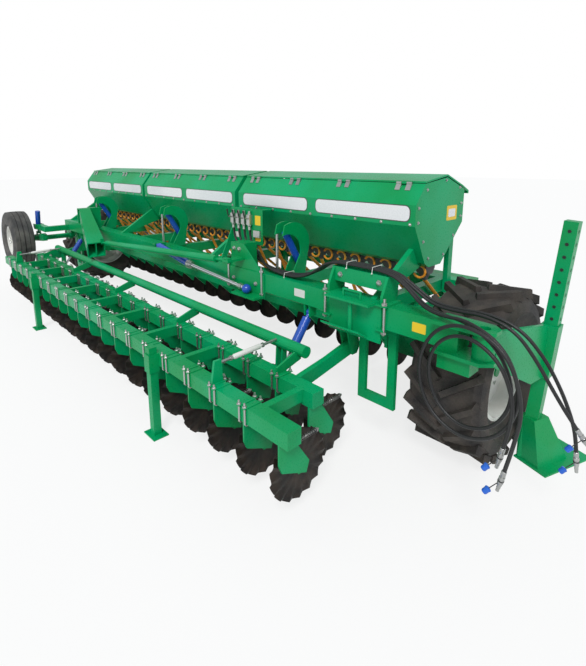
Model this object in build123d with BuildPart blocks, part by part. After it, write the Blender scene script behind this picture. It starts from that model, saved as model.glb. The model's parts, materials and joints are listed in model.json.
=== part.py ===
"""Six-metre no-till seed drill with a front gang of wavy coulters.

Frame of the model: millimetres, +Z up from the ground, +X along the working width, the
coulter gang in front at -Y, and the origin on the ground under the middle of the machine.
"""
import os
from math import cos, hypot, radians, sin, tan

from build123d import *

os.makedirs("parts", exist_ok=True)

# ---------------------------------------------------------------- driving dimensions
row_pitch = 150.0                # between neighbouring seed rows
bank_rows = 20                   # rows in each of the two banks

beam_size = 150.0                # main beam, square tube
beam_front_y = -600.0
beam_bottom_z = 970.0
beam_left_x = -3000.0
beam_right_x = 3540.0

rear_beam_size = 100.0           # rear beam, square tube
rear_beam_y = 500.0              # its front face
frame_half = 2990.0              # half length of the rear beam
cross_width = 80.0               # frame cross tubes
cross_height = 100.0
cross_xs = (-2850.0, -1950.0, -900.0, 0.0, 900.0, 1950.0, 2850.0)

hopper_half = 3000.0             # half length of the three hoppers together
hopper_gap = 60.0                # between neighbouring hoppers
hopper_sheet = 6.0
hopper_end_plate = 8.0
hopper_bottom_z = 1262.0
hopper_bottom_front_y = 20.0
hopper_bottom_rear_y = 190.0
hopper_knee_y = -39.0            # where the bottom turns up to the front slope
hopper_knee_z = 1294.0
hopper_front_y = -196.0          # upright band that carries the plates
hopper_band_bottom_z = 1576.0
hopper_band_top_z = 1722.0
hopper_rear_y = 500.0
hopper_rear_bottom_z = 1552.0
hopper_seam_y = -84.0            # where the lid meets the leaning front panel
hopper_seam_z = 1862.0
lid_sheet = 12.0
lid_gap = 4.0                    # between a lid and its hopper
lid_apex_y = 220.0
lid_apex_z = 1921.0
lid_break_y = 470.0
lid_break_z = 1836.0
lid_edge_y = 575.0
lid_edge_z = 1792.0
lid_lip = 24.0                   # rear edge folded down
hinge_y = -98.0                  # lid hinges along the front seam
hinge_z = 1864.0
hinge_radius = 9.0
hinge_pin = 4.0
hinge_knuckle = 40.0
hinge_offsets = (-820, -275, 275, 820)

meter_width = 90.0
meter_depth = 130.0
meter_bottom_z = 1190.0
funnel_top = 64.0
funnel_foot = 34.0
funnel_bottom_z = 1140.0
seed_tube_radius = 18.0

gang_tube_size = 100.0           # coulter gang, two square tubes
gang_front_y = -1420.0           # centre of the front tube
gang_rear_y = -1040.0
gang_centre_z = 600.0
gang_front_left_x = -2990.0
gang_front_right_x = 3090.0
gang_rear_left_x = -2905.0
gang_rear_right_x = 2905.0
gang_first_x = 2990.0            # plane of the outermost right-hand disc
gang_cross_xs = (-2310.0, -1700.0, -1100.0, -500.0, 100.0, 700.0, 1300.0, 1900.0, 2800.0)
gang_cross_width = 50.0
gang_cross_height = 80.0
coulter_radius = 215.0
coulter_thickness = 8.0
coulter_back = 130.0             # disc axle behind its tube's centre
coulter_axle_z = 335.0
coulter_waves = 8
coulter_cheek = 12.0
coulter_cheek_offset = 32.0      # cheek beside its disc
hub_radius = 48.0
hub_width = 24.0
spring_radius = 15.0
spring_length = 180.0
spring_z = 540.0

pivot_y = -450.0                 # hinge of the coulter gang under the main beam
pivot_z = 700.0
pivot_x = 2680.0
pivot_pin_radius = 20.0
arm_width = 40.0
arm_height = 110.0
rockshaft_radius = 42.0
rockshaft_y = -850.0
rockshaft_z = 750.0
rockshaft_half = 2620.0
link_x = 2370.0                  # turnbuckles and lift rams
ram_eye_y = -560.0               # upper eye of a lift ram
ram_eye_z = 905.0
ram_foot_y = -860.0              # pin on the rockshaft's lever
ram_foot_z = 500.0
ram_radius = 34.0
ram_rod_radius = 15.0
ram_pin_radius = 12.0
ram_clear = 0.05                 # running clearance of rods, pins and bearings

leg_xs = (-1340.0, 1690.0)       # parking legs of the gang
leg_size = 60.0
leg_foot_x = 160.0
leg_foot_y = 120.0
leg_foot_plate = 10.0
leg_top_z = 700.0
leg_sleeve_wall = 8.0
leg_gap = 1.0

axle_y = 110.0                   # field wheels
field_radius = 600.0
field_width = 500.0
field_x = 3385.0
field_rim_radius = 325.0
field_lug_height = 38.0
field_lugs = 20
wheel_hanger_x = 2970.0
wheel_hanger_plate = 24.0
stub_radius = 38.0

transport_pivot_x = -3050.0      # cranked axle of the end-tow wheels
transport_pivot_z = 860.0
transport_tube_radius = 38.0
transport_wheel_x = -3580.0
transport_wheel_z = 790.0
transport_front_y = -1150.0
transport_rear_y = 1250.0
transport_radius = 455.0
transport_width = 300.0
transport_rim_radius = 235.0
transport_arm = 60.0
transport_arm_front_y = -900.0
transport_arm_rear_y = 1000.0

bar_size = 80.0                  # opener bars
bar_front_y = 100.0
bar_rear_y = 550.0
bar_z = 620.0
bar_half = 2950.0
opener_radius = 170.0
opener_back = 430.0              # opener axle behind its bar's centre
opener_axle_z = 330.0
press_radius = 145.0
press_back = 850.0
press_axle_z = 280.0
press_width = 50.0
boot_top_z = 520.0

walkway_front_y = 690.0
walkway_rear_y = 1070.0
walkway_z = 950.0
walkway_plate = 30.0

tower_pin_x = 3670.0             # knuckle at the end of the beam
tower_pin_y = -570.0
tower_pin_radius = 30.0
post_x = 3718.0                  # foot of the leaning post on the ground
post_y = 195.0
post_size = 80.0
post_top_z = 1660.0
post_lean = 3.9                  # degrees, outwards
foot_x = 3850.0
foot_y = 330.0
foot_length = 460.0
foot_width = 240.0
foot_turn = 70.0
foot_plate = 12.0

clamp_left_x = 2600.0            # bolted clamp bracket over the beam
clamp_right_x = 3040.0
clamp_top_z = 1300.0
tall_left_x = 1450.0             # tall bracket that takes the stay and the folding ram
tall_right_x = 1620.0
tall_top_z = 1330.0
fin_right_x = 1860.0
stay_y = -745.0
stay_radius = 33.0
stay_left = (-960.0, 1021.0)     # (X, Z) ends of the thick tube
stay_right = (1430.0, 1193.0)
fold_y = -665.0
fold_start = (260.0, 1136.0)     # (X, Z) where the barrel starts and ends, and its ball
fold_gland = (860.0, 1040.0)
fold_ball = (1740.0, 976.0)
socket_open_x = -1100.0          # drawbar socket, open towards +X
socket_root_x = -1800.0
socket_wall = 12.0
panel_left_x = 1150.0            # valve panel
panel_right_x = 1600.0
panel_bottom_z = 1280.0
panel_top_z = 1600.0
panel_y = -360.0
hose_radius = 10.0
coupler_radius = 15.0
coupler_length = 90.0

# ---------------------------------------------------------------- derived places
beam_back_y = beam_front_y + beam_size
beam_top_z = beam_bottom_z + beam_size
hopper_length = (2 * hopper_half - 2 * hopper_gap) / 3
hopper_centres = {
    "left": -(hopper_length + hopper_gap),
    "middle": 0.0,
    "right": hopper_length + hopper_gap,
}
coulter_pitch = 2 * row_pitch
gang_front_xs = [gang_first_x - coulter_pitch * k for k in range(bank_rows)]
gang_rear_xs = [x - row_pitch for x in gang_front_xs]
coulter_banks = ((gang_front_y, gang_front_xs), (gang_rear_y, gang_rear_xs))
first_row_x = -row_pitch * (2 * bank_rows - 1) / 2
opener_front_xs = [first_row_x + coulter_pitch * k for k in range(bank_rows)]
opener_rear_xs = [x + row_pitch for x in opener_front_xs]
opener_banks = ((bar_front_y, opener_front_xs), (bar_rear_y, opener_rear_xs))
row_xs = sorted(opener_front_xs + opener_rear_xs)
meter_y = (hopper_bottom_front_y + hopper_bottom_rear_y) / 2
gang_top_z = gang_centre_z + gang_tube_size / 2
gang_bottom_z = gang_centre_z - gang_tube_size / 2


# ---------------------------------------------------------------- shared forms
def block(x_range, y_range, z_range):
    """A rectangular solid between three pairs of faces, added to the part in work."""
    centre = [sum(pair) / 2 for pair in (x_range, y_range, z_range)]
    size = [abs(pair[1] - pair[0]) for pair in (x_range, y_range, z_range)]
    with Locations(tuple(centre)):
        Box(*size)


def side_plate(points, x_centre, thickness):
    """A flat piece whose outline of (Y, Z) points lies across the X axis."""
    with BuildPart() as plate:
        with BuildSketch(Plane.YZ.offset(x_centre - thickness / 2)):
            with BuildLine():
                Polyline(*points, close=True)
            make_face()
        extrude(amount=thickness)
    return plate.part


def front_plate(points, y_front, thickness):
    """A flat piece whose outline of (X, Z) points faces the front."""
    with BuildPart() as plate:
        with BuildSketch(Plane.XZ.offset(-(y_front + thickness))):
            with BuildLine():
                Polyline(*points, close=True)
            make_face()
        extrude(amount=thickness)
    return plate.part


def rod_between(start, end, radius, sides=0):
    """A round bar, or one with flat sides, from one point to another."""
    axis = Vector(*end) - Vector(*start)
    with BuildPart() as rod:
        with BuildSketch(Plane(origin=start, z_dir=axis)):
            if sides:
                RegularPolygon(radius, sides)
            else:
                Circle(radius)
        extrude(amount=axis.length)
    return rod.part


def wavy_outline(centre, inner, outer, waves):
    """The points of a wavy round outline about a centre, high and low in turn."""
    points = []
    for k in range(2 * waves):
        radius = inner if k % 2 else outer
        angle = radians(180.0 * k / waves)
        points.append((centre[0] + radius * cos(angle), centre[1] + radius * sin(angle)))
    return points


# ---------------------------------------------------------------- main frame
with BuildPart() as main_beam:
    block((beam_left_x, beam_right_x), (beam_front_y, beam_back_y), (beam_bottom_z, beam_top_z))
main_beam.part.label = "main_beam"
export_step(main_beam.part, "parts/main_beam.step")

rear_beam_back_y = rear_beam_y + rear_beam_size
cross_top_z = beam_bottom_z + cross_height
with BuildPart() as rear_frame:
    block(
        (-frame_half, frame_half),
        (rear_beam_y, rear_beam_back_y),
        (beam_bottom_z, beam_bottom_z + rear_beam_size),
    )
    for x in cross_xs:
        block(
            (x - cross_width / 2, x + cross_width / 2),
            (beam_back_y, rear_beam_y),
            (beam_bottom_z, cross_top_z),
        )
rear_frame.part.label = "rear_frame"
export_step(rear_frame.part, "parts/rear_frame.step")

# Hopper stands: a leaning plate from the main beam and an upright post from the rear beam.
stand_plate = 40.0
stand_post = 60.0
hopper_joint_x = (hopper_length + hopper_gap) / 2
stand_xs = (-2920.0, -hopper_joint_x, hopper_joint_x, 2920.0)
brace_profile = [
    (beam_back_y - 90, beam_top_z),
    (beam_back_y, beam_top_z),
    (hopper_bottom_front_y, hopper_bottom_z),
    (hopper_knee_y, hopper_knee_z),
    (hopper_knee_y - 60, hopper_knee_z + 60 * (hopper_band_bottom_z - hopper_knee_z)
     / (hopper_knee_y - hopper_front_y)),
]
rear_slope = (hopper_rear_bottom_z - hopper_bottom_z) / (hopper_rear_y - hopper_bottom_rear_y)
post_front_y = rear_beam_y - stand_post
post_profile = [
    (post_front_y, cross_top_z - cross_height),
    (rear_beam_y, cross_top_z - cross_height),
    (rear_beam_y, hopper_bottom_z + rear_slope * (rear_beam_y - hopper_bottom_rear_y)),
    (post_front_y, hopper_bottom_z + rear_slope * (post_front_y - hopper_bottom_rear_y)),
]
stand_solids = [side_plate(brace_profile, x, stand_plate) for x in stand_xs]
stand_solids += [side_plate(post_profile, x, stand_plate) for x in stand_xs]
with BuildPart() as hopper_stands:
    add(stand_solids)
hopper_stands.part.label = "hopper_stands"
export_step(hopper_stands.part, "parts/hopper_stands.step")

# ---------------------------------------------------------------- hoppers and lids
trough_profile = [
    (hopper_seam_y, hopper_seam_z),
    (hopper_front_y, hopper_band_top_z),
    (hopper_front_y, hopper_band_bottom_z),
    (hopper_knee_y, hopper_knee_z),
    (hopper_bottom_front_y, hopper_bottom_z),
    (hopper_bottom_rear_y, hopper_bottom_z),
    (hopper_rear_y, hopper_rear_bottom_z),
]
lid_rear_slope = (lid_break_z - lid_edge_z) / (lid_edge_y - lid_break_y)
lid_clear = lid_sheet + lid_gap + hopper_sheet
hopper_rear_top_z = lid_break_z - lid_rear_slope * (hopper_rear_y - lid_break_y) - lid_clear
end_profile = trough_profile + [
    (hopper_rear_y, hopper_rear_top_z),
    (lid_break_y, lid_break_z - lid_clear),
    (lid_apex_y, lid_apex_z - lid_clear),
]
trough_half = hopper_length / 2 - hopper_end_plate
trough_profile.append((hopper_rear_y, hopper_rear_top_z))


def hopper_trough(x_centre):
    """Folded sheets of one hopper, open above and at both ends."""
    with BuildPart() as trough:
        with BuildSketch(Plane.YZ.offset(x_centre - trough_half)):
            with BuildLine():
                Polyline(*trough_profile)
                offset(amount=hopper_sheet, side=Side.LEFT)
            make_face()
        extrude(amount=2 * trough_half)
    return trough.part


def hinge_barrel(start_x, length, radius):
    """A round bar along the lid hinges' axis, from start_x to the right."""
    return rod_between((start_x, hinge_y, hinge_z), (start_x + length, hinge_y, hinge_z), radius)


def lid_shell(x_centre):
    """A lid of two slopes with a folded rear edge and one knuckle for each of its hinges."""
    half = hopper_length / 2
    with BuildPart() as lid:
        with BuildSketch(Plane.YZ.offset(x_centre - half)):
            with BuildLine():
                Polyline(
                    (hopper_seam_y, hopper_seam_z + lid_gap),
                    (hopper_seam_y, hopper_seam_z + lid_gap + lid_sheet),
                    (lid_apex_y, lid_apex_z),
                    (lid_break_y, lid_break_z),
                    (lid_edge_y, lid_edge_z),
                    (lid_edge_y, lid_edge_z - lid_lip),
                    (lid_edge_y - lid_sheet, lid_edge_z - lid_lip),
                    (lid_edge_y - lid_sheet, lid_edge_z - lid_sheet),
                    (lid_break_y, lid_break_z - lid_sheet),
                    (lid_apex_y, lid_apex_z - lid_sheet),
                    close=True,
                )
            make_face()
        extrude(amount=2 * half)
        for shift in hinge_offsets:
            start_x = x_centre + shift - hinge_knuckle / 2
            block(
                (start_x, start_x + hinge_knuckle),
                (hinge_y, hopper_seam_y + 10),
                (hopper_seam_z + lid_gap, hopper_seam_z + lid_gap + 7),
            )
            add(hinge_barrel(start_x, hinge_knuckle, hinge_radius))
            add(hinge_barrel(start_x - 1, hinge_knuckle + 2, hinge_pin + 0.5), mode=Mode.SUBTRACT)
    return lid.part


for side, x in hopper_centres.items():
    with BuildPart() as hopper:
        add(hopper_trough(x))
    hopper.part.label = f"hopper_{side}"
    export_step(hopper.part, f"parts/hopper_{side}.step")
    with BuildPart() as lid:
        add(lid_shell(x))
    lid.part.label = f"lid_{side}"
    export_step(lid.part, f"parts/lid_{side}.step")

# Fixed halves of the lid hinges, each a leaf on the front panel with two knuckles and a pin.
panel_rise = hopper_seam_z - hopper_band_top_z
panel_run = hopper_seam_y - hopper_front_y
leaf_low_y = hopper_seam_y - panel_run * 0.35
leaf_low_z = hopper_seam_z - panel_rise * 0.35
leaf_high_y = hopper_seam_y - panel_run * 0.06
leaf_high_z = hopper_seam_z - panel_rise * 0.06
leaf_profile = [
    (leaf_low_y, leaf_low_z),
    (leaf_high_y, leaf_high_z),
    (hinge_y - 2, hinge_z - 2),
    (leaf_low_y - 4, leaf_low_z + 3),
]
hinge_span = 3 * hinge_knuckle + 4
with BuildPart() as one_hinge:
    for start_x in (-hinge_span / 2, hinge_knuckle / 2 + 2):
        add(side_plate(leaf_profile, start_x + hinge_knuckle / 2, hinge_knuckle))
        add(hinge_barrel(start_x, hinge_knuckle, hinge_radius))
    add(hinge_barrel(-hinge_span / 2, hinge_span, hinge_pin))
hinge_places = []
for x in hopper_centres.values():
    hinge_places += [Location((x + shift, 0, 0)) for shift in hinge_offsets]
with BuildPart() as lid_hinges:
    with Locations(*hinge_places):
        add(one_hinge.part)
lid_hinges.part.label = "lid_hinges"
export_step(lid_hinges.part, "parts/lid_hinges.step")

plate_xs = []
for x in hopper_centres.values():
    plate_xs += [x - hopper_length / 2 + hopper_end_plate / 2]
    plate_xs += [x + hopper_length / 2 - hopper_end_plate / 2]
end_plates = [side_plate(end_profile, x, hopper_end_plate) for x in plate_xs]
with BuildPart() as hopper_ends:
    add(end_plates)
hopper_ends.part.label = "hopper_ends"
export_step(hopper_ends.part, "parts/hopper_ends.step")

# Seed meters along the hopper floor, their funnels and the slanting seed tubes.
meter_radius = meter_depth / 2
meter_top_z = hopper_bottom_z
with BuildPart() as one_meter:
    with BuildSketch(Plane.YZ.offset(-meter_width / 2)):
        with BuildLine():
            Polyline(
                (meter_y - meter_radius, meter_top_z),
                (meter_y + meter_radius, meter_top_z),
                (meter_y + meter_radius, meter_top_z - 30),
                (meter_y + funnel_top / 2, meter_bottom_z),
                (meter_y - funnel_top / 2, meter_bottom_z),
                (meter_y - meter_radius, meter_top_z - 30),
                close=True,
            )
        make_face()
    extrude(amount=meter_width)
    with BuildSketch(Plane.XY.offset(funnel_bottom_z)):
        with Locations((0, meter_y)):
            Rectangle(funnel_foot, funnel_foot)
    with BuildSketch(Plane.XY.offset(meter_bottom_z)):
        with Locations((0, meter_y)):
            Rectangle(funnel_top, funnel_top)
    loft(ruled=True)
with BuildPart() as seed_meters:
    with Locations(*[(x, 0, 0) for x in row_xs]):
        add(one_meter.part)
seed_meters.part.label = "seed_meters"
export_step(seed_meters.part, "parts/seed_meters.step")


def seed_tube(foot_y):
    """A slanting tube from a funnel down to the boot of an opener."""
    drop = Vector(0, foot_y - meter_y, boot_top_z - funnel_bottom_z)
    with BuildPart() as tube:
        with BuildSketch(Plane.XY.offset(funnel_bottom_z)):
            RegularPolygon(seed_tube_radius, 6)
        extrude(amount=drop.length, dir=drop)
    return tube.part


boot_back = opener_back - 110
bank_tubes = [(seed_tube(bar_y + boot_back), xs) for bar_y, xs in opener_banks]
with BuildPart() as seed_tubes:
    for tube, xs in bank_tubes:
        with Locations(*[(x, meter_y, 0) for x in xs]):
            add(tube)
seed_tubes.part.label = "seed_tubes"
export_step(seed_tubes.part, "parts/seed_tubes.step")

# ---------------------------------------------------------------- opener module
hanger_post = 60.0
hanger_xs = (cross_xs[0], cross_xs[2], cross_xs[4], cross_xs[6])
with BuildPart() as opener_bars:
    for bar_y, _ in opener_banks:
        block(
            (-bar_half, bar_half),
            (bar_y - bar_size / 2, bar_y + bar_size / 2),
            (bar_z - bar_size / 2, bar_z + bar_size / 2),
        )
opener_bars.part.label = "opener_bars"
export_step(opener_bars.part, "parts/opener_bars.step")

arm_plate = 30.0
arm_profile = [
    (bar_size / 2, bar_z - bar_size / 2),
    (bar_size / 2, bar_z + bar_size / 2),
    (boot_back - 40, boot_top_z),
    (boot_back + 40, boot_top_z),
    (press_back, press_axle_z + 30),
    (press_back, press_axle_z - 20),
    (opener_back, opener_axle_z - 30),
    (boot_back - 20, opener_axle_z),
]
opener_arm = side_plate(arm_profile, 0, arm_plate)
with BuildPart() as opener_arms:
    for bar_y, xs in opener_banks:
        with Locations(*[(x, bar_y, 0) for x in xs]):
            add(opener_arm)
opener_arms.part.label = "opener_arms"
export_step(opener_arms.part, "parts/opener_arms.step")

disc_sides = 8
disc_sheet = 5.0
disc_gap = 3.0
press_sides = 8
with BuildPart() as disc_pair:
    for side in (-1, 1):
        offset_x = side * (arm_plate / 2 + disc_gap)
        with BuildSketch(Plane.YZ.offset(offset_x)):
            with Locations((opener_back, opener_axle_z)):
                RegularPolygon(opener_radius, disc_sides)
        extrude(amount=side * disc_sheet)
with BuildPart() as opener_discs:
    for bar_y, xs in opener_banks:
        with Locations(*[(x, bar_y, 0) for x in xs]):
            add(disc_pair.part)
opener_discs.part.label = "opener_discs"
export_step(opener_discs.part, "parts/opener_discs.step")

with BuildPart() as press_wheel:
    press_x = arm_plate / 2 + disc_gap
    with BuildSketch(Plane.YZ.offset(press_x)):
        with Locations((press_back, press_axle_z)):
            RegularPolygon(press_radius, press_sides)
    extrude(amount=press_width)
with BuildPart() as press_wheels:
    for bar_y, xs in opener_banks:
        with Locations(*[(x, bar_y, 0) for x in xs]):
            add(press_wheel.part)
press_wheels.part.label = "press_wheels"
export_step(press_wheels.part, "parts/press_wheels.step")

# ---------------------------------------------------------------- walkway
walkway_half = frame_half - 60
bracket_xs = (-2400.0, -1200.0, 0.0, 1200.0, 2400.0)
bracket_width = 50.0
with BuildPart() as walkway:
    block(
        (-walkway_half, walkway_half),
        (walkway_front_y, walkway_rear_y),
        (walkway_z, walkway_z + walkway_plate),
    )
    for x in bracket_xs:
        block(
            (x - bracket_width / 2, x + bracket_width / 2),
            (rear_beam_back_y, walkway_front_y),
            (beam_bottom_z - 10, walkway_z + walkway_plate + 40),
        )
walkway.part.label = "walkway"
export_step(walkway.part, "parts/walkway.step")

# ---------------------------------------------------------------- goosenecks and their rams
gooseneck_xs = (-1950.0, 0.0, 1950.0)
gooseneck_plate = 12.0
gooseneck_half = 46.0
gooseneck_eye = (-420.0, 1450.0)
gooseneck_foot_z = cross_top_z


def gooseneck_cheek(x_centre):
    """One curved plate that rises from a cross tube and bends forward over its ram."""
    with BuildPart() as cheek:
        with BuildSketch(Plane.YZ.offset(x_centre - gooseneck_plate / 2)):
            with BuildLine():
                Line((-235, gooseneck_foot_z), (-205, 1260))
                ThreePointArc((-205, 1260), (-275, 1500), (-470, 1510))
                Line((-470, 1510), (-490, 1430))
                ThreePointArc((-490, 1430), (-345, 1405), (-290, 1260))
                Line((-290, 1260), (-400, gooseneck_foot_z))
                Line((-400, gooseneck_foot_z), (-235, gooseneck_foot_z))
            make_face()
        extrude(amount=gooseneck_plate)
    return cheek.part


neck_cheeks = []
for x in gooseneck_xs:
    neck_cheeks += [gooseneck_cheek(x - gooseneck_half), gooseneck_cheek(x + gooseneck_half)]
with BuildPart() as goosenecks:
    add(neck_cheeks)
goosenecks.part.label = "goosenecks"
export_step(goosenecks.part, "parts/goosenecks.step")

neck_ram_radius = 30.0
neck_ram_foot = (-262.0, 1180.0)
ram_barrels = [
    rod_between((x, *gooseneck_eye), (x, *neck_ram_foot), neck_ram_radius, 12)
    for x in gooseneck_xs
]
with BuildPart() as neck_rams:
    add(ram_barrels)
neck_rams.part.label = "neck_rams"
export_step(neck_rams.part, "parts/neck_rams.step")

neck_link_x = gooseneck_half + gooseneck_plate + 18
link_radius = 12.0
neck_links = [
    rod_between((x - neck_link_x, -440, beam_top_z), (x - neck_link_x, -440, 1440), link_radius, 8)
    for x in gooseneck_xs
]
with BuildPart() as lift_links:
    add(neck_links)
lift_links.part.label = "lift_links"
export_step(lift_links.part, "parts/lift_links.step")

# ---------------------------------------------------------------- coulter gang
with BuildPart() as gang_tubes:
    for tube_y, low_x, high_x in (
        (gang_front_y, gang_front_left_x, gang_front_right_x),
        (gang_rear_y, gang_rear_left_x, gang_rear_right_x),
    ):
        block(
            (low_x, high_x),
            (tube_y - gang_tube_size / 2, tube_y + gang_tube_size / 2),
            (gang_bottom_z, gang_top_z),
        )
gang_tubes.part.label = "gang_tubes"
export_step(gang_tubes.part, "parts/gang_tubes.step")

with BuildPart() as gang_cross_members:
    for x in gang_cross_xs:
        block(
            (x - gang_cross_width / 2, x + gang_cross_width / 2),
            (gang_front_y + gang_tube_size / 2, gang_rear_y - gang_tube_size / 2),
            (gang_top_z - gang_cross_height, gang_top_z),
        )
gang_cross_members.part.label = "gang_cross_members"
export_step(gang_cross_members.part, "parts/gang_cross_members.step")

# Each coulter: a cheek below its tube, a disc beside it on a hub, and a spring behind.
hub_y = coulter_back
cheek_profile = [
    (-gang_tube_size / 2, gang_bottom_z),
    (gang_tube_size / 2, gang_bottom_z),
    (hub_y + hub_radius, coulter_axle_z + 20),
    (hub_y + 25, coulter_axle_z - hub_radius),
    (-30, coulter_axle_z + 40),
    (-gang_tube_size / 2, coulter_axle_z + 90),
]
cheek_near = coulter_cheek_offset - coulter_cheek / 2
with BuildPart() as one_coulter_leg:
    add(side_plate(cheek_profile, coulter_cheek_offset, coulter_cheek))
    with BuildSketch(Plane.YZ.offset(coulter_thickness / 2)):
        with Locations((hub_y, coulter_axle_z)):
            RegularPolygon(hub_radius, 6)
    extrude(amount=cheek_near - coulter_thickness / 2)
with BuildPart() as coulter_legs:
    for tube_y, xs in coulter_banks:
        with Locations(*[(x, tube_y, 0) for x in xs]):
            add(one_coulter_leg.part)
coulter_legs.part.label = "coulter_legs"
export_step(coulter_legs.part, "parts/coulter_legs.step")

wave_depth = 9.0
disc_inner = coulter_radius - wave_depth
disc_outline = wavy_outline((hub_y, coulter_axle_z), disc_inner, coulter_radius, coulter_waves)
wavy_disc = side_plate(disc_outline, 0, coulter_thickness)
with BuildPart() as coulter_discs:
    for tube_y, xs in coulter_banks:
        with Locations(*[(x, tube_y, 0) for x in xs]):
            add(wavy_disc)
coulter_discs.part.label = "coulter_discs"
export_step(coulter_discs.part, "parts/coulter_discs.step")

spring_x = coulter_cheek_offset + coulter_cheek / 2 + spring_radius + 4
with BuildPart() as one_spring:
    with BuildSketch(Plane.XZ.offset(-gang_tube_size / 2)):
        with Locations((spring_x, spring_z)):
            RegularPolygon(spring_radius, 6)
    extrude(amount=-spring_length)
with BuildPart() as coulter_springs:
    for tube_y, xs in coulter_banks:
        with Locations(*[(x, tube_y, 0) for x in xs]):
            add(one_spring.part)
coulter_springs.part.label = "coulter_springs"
export_step(coulter_springs.part, "parts/coulter_springs.step")

# Lift arms from the rear tube back to the hinge, and the rockshaft over the rear discs.
arm_front_y = gang_rear_y + gang_tube_size / 2
arm_eye_radius = 50.0
pivot_clear = 0.05
arm_profile_points = [
    (arm_front_y, gang_top_z),
    (arm_front_y, gang_bottom_z),
    (pivot_y, pivot_z - arm_eye_radius),
    (pivot_y, pivot_z + arm_eye_radius),
    (rockshaft_y + 120, gang_top_z + arm_width),
]
gang_arm_solids = []
for x in (-pivot_x, pivot_x):
    with BuildPart() as one_arm:
        with BuildSketch(Plane.YZ.offset(x - arm_width / 2)):
            with BuildLine():
                Polyline(*arm_profile_points, close=True)
            make_face()
            with Locations((pivot_y, pivot_z)):
                Circle(arm_eye_radius)
                Circle(pivot_pin_radius + pivot_clear, mode=Mode.SUBTRACT)
        extrude(amount=arm_width)
    gang_arm_solids.append(one_arm.part)
with BuildPart() as gang_arms:
    add(gang_arm_solids)
gang_arms.part.label = "gang_arms"
export_step(gang_arms.part, "parts/gang_arms.step")

# The rockshaft turns in pedestals on the rear tube; its levers hang down to the lift rams.
pedestal_width = 16.0
pedestal_xs = (-2560.0, -1280.0, 0.0, 1280.0, 2560.0)
lever_width = 16.0
lever_gap = 20.0                 # from the middle of a pair to a lever's inner face
pedestal_profile = [
    (gang_rear_y - 30, gang_top_z),
    (arm_front_y, gang_top_z),
    (rockshaft_y, rockshaft_z - rockshaft_radius - 20),
    (rockshaft_y, rockshaft_z - rockshaft_radius + 2),
    (rockshaft_y - 55, rockshaft_z),
    (gang_rear_y - 30, gang_top_z + 40),
]
lever_profile = [
    (rockshaft_y - 20, rockshaft_z - rockshaft_radius + 4),
    (rockshaft_y + 20, rockshaft_z - rockshaft_radius + 4),
    (ram_foot_y + 24, ram_foot_z - 24),
    (ram_foot_y - 24, ram_foot_z - 24),
]
bearing_gap = 0.3
pedestal_solids = []
for x in pedestal_xs:
    with BuildPart() as one_pedestal:
        add(side_plate(pedestal_profile, x, pedestal_width))
        with BuildSketch(Plane.YZ.offset(x - pedestal_width / 2)):
            with Locations((rockshaft_y, rockshaft_z)):
                Circle(rockshaft_radius + bearing_gap)
        extrude(amount=pedestal_width, mode=Mode.SUBTRACT)
    pedestal_solids.append(one_pedestal.part)
lever_offset = lever_gap + lever_width / 2
lever_solids = []
for x in (-link_x, link_x):
    for side in (-1, 1):
        with BuildPart() as one_lever:
            with BuildSketch(Plane.YZ.offset(x + side * lever_offset - lever_width / 2)):
                with BuildLine():
                    Polyline(*lever_profile, close=True)
                make_face()
                with Locations((ram_foot_y, ram_foot_z)):
                    Circle(ram_pin_radius, mode=Mode.SUBTRACT)
            extrude(amount=lever_width)
        lever_solids.append(one_lever.part)
pin_half = lever_offset + lever_width / 2
with BuildPart() as rockshaft:
    with BuildSketch(Plane.YZ.offset(-rockshaft_half)):
        with Locations((rockshaft_y, rockshaft_z)):
            RegularPolygon(rockshaft_radius, 16)
    extrude(amount=2 * rockshaft_half)
    add(lever_solids)
    for x in (-link_x, link_x):
        with BuildSketch(Plane.YZ.offset(x - pin_half)):
            with Locations((ram_foot_y, ram_foot_z)):
                Circle(ram_pin_radius)
        extrude(amount=2 * pin_half)
rockshaft.part.label = "rockshaft"
export_step(rockshaft.part, "parts/rockshaft.step")

# White turnbuckles from ears on the front tube to the rockshaft.
ear_y = gang_front_y + 10
ear_z = gang_top_z + 130
ear_profile = [
    (gang_front_y - 40, gang_top_z),
    (gang_front_y + 45, gang_top_z),
    (ear_y + 25, ear_z + 20),
    (ear_y - 25, ear_z + 20),
]
ear_solids = [side_plate(ear_profile, x, 20) for x in (-link_x - 20, link_x + 20)]
turnbuckle_radius = 18.0
buckle_end_y = rockshaft_y - rockshaft_radius - 3
buckles = [
    rod_between((x, ear_y, ear_z), (x, buckle_end_y, rockshaft_z + 10), turnbuckle_radius, 8)
    for x in (-link_x + 8, link_x - 8)
]
with BuildPart() as turnbuckles:
    add(buckles)
turnbuckles.part.label = "turnbuckles"
export_step(turnbuckles.part, "parts/turnbuckles.step")

# ---------------------------------------------------------------- hinge of the gang
hinge_ear = 16.0
hinge_side_gap = 6.0
hinge_ear_offset = arm_width / 2 + hinge_side_gap + hinge_ear / 2
hinge_ear_profile = [
    (beam_front_y + 30, beam_bottom_z),
    (beam_back_y, beam_bottom_z),
    (pivot_y + arm_eye_radius, pivot_z),
    (pivot_y + 20, pivot_z - arm_eye_radius),
    (pivot_y - 30, pivot_z - arm_eye_radius),
    (pivot_y - arm_eye_radius, pivot_z),
]
hinge_ear_solids = []
for x in (-pivot_x, pivot_x):
    for side in (-1, 1):
        with BuildPart() as one_ear:
            with BuildSketch(Plane.YZ.offset(x + side * hinge_ear_offset - hinge_ear / 2)):
                with BuildLine():
                    Polyline(*hinge_ear_profile, close=True)
                make_face()
                with Locations((pivot_y, pivot_z)):
                    Circle(pivot_pin_radius, mode=Mode.SUBTRACT)
            extrude(amount=hinge_ear)
        hinge_ear_solids.append(one_ear.part)
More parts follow.
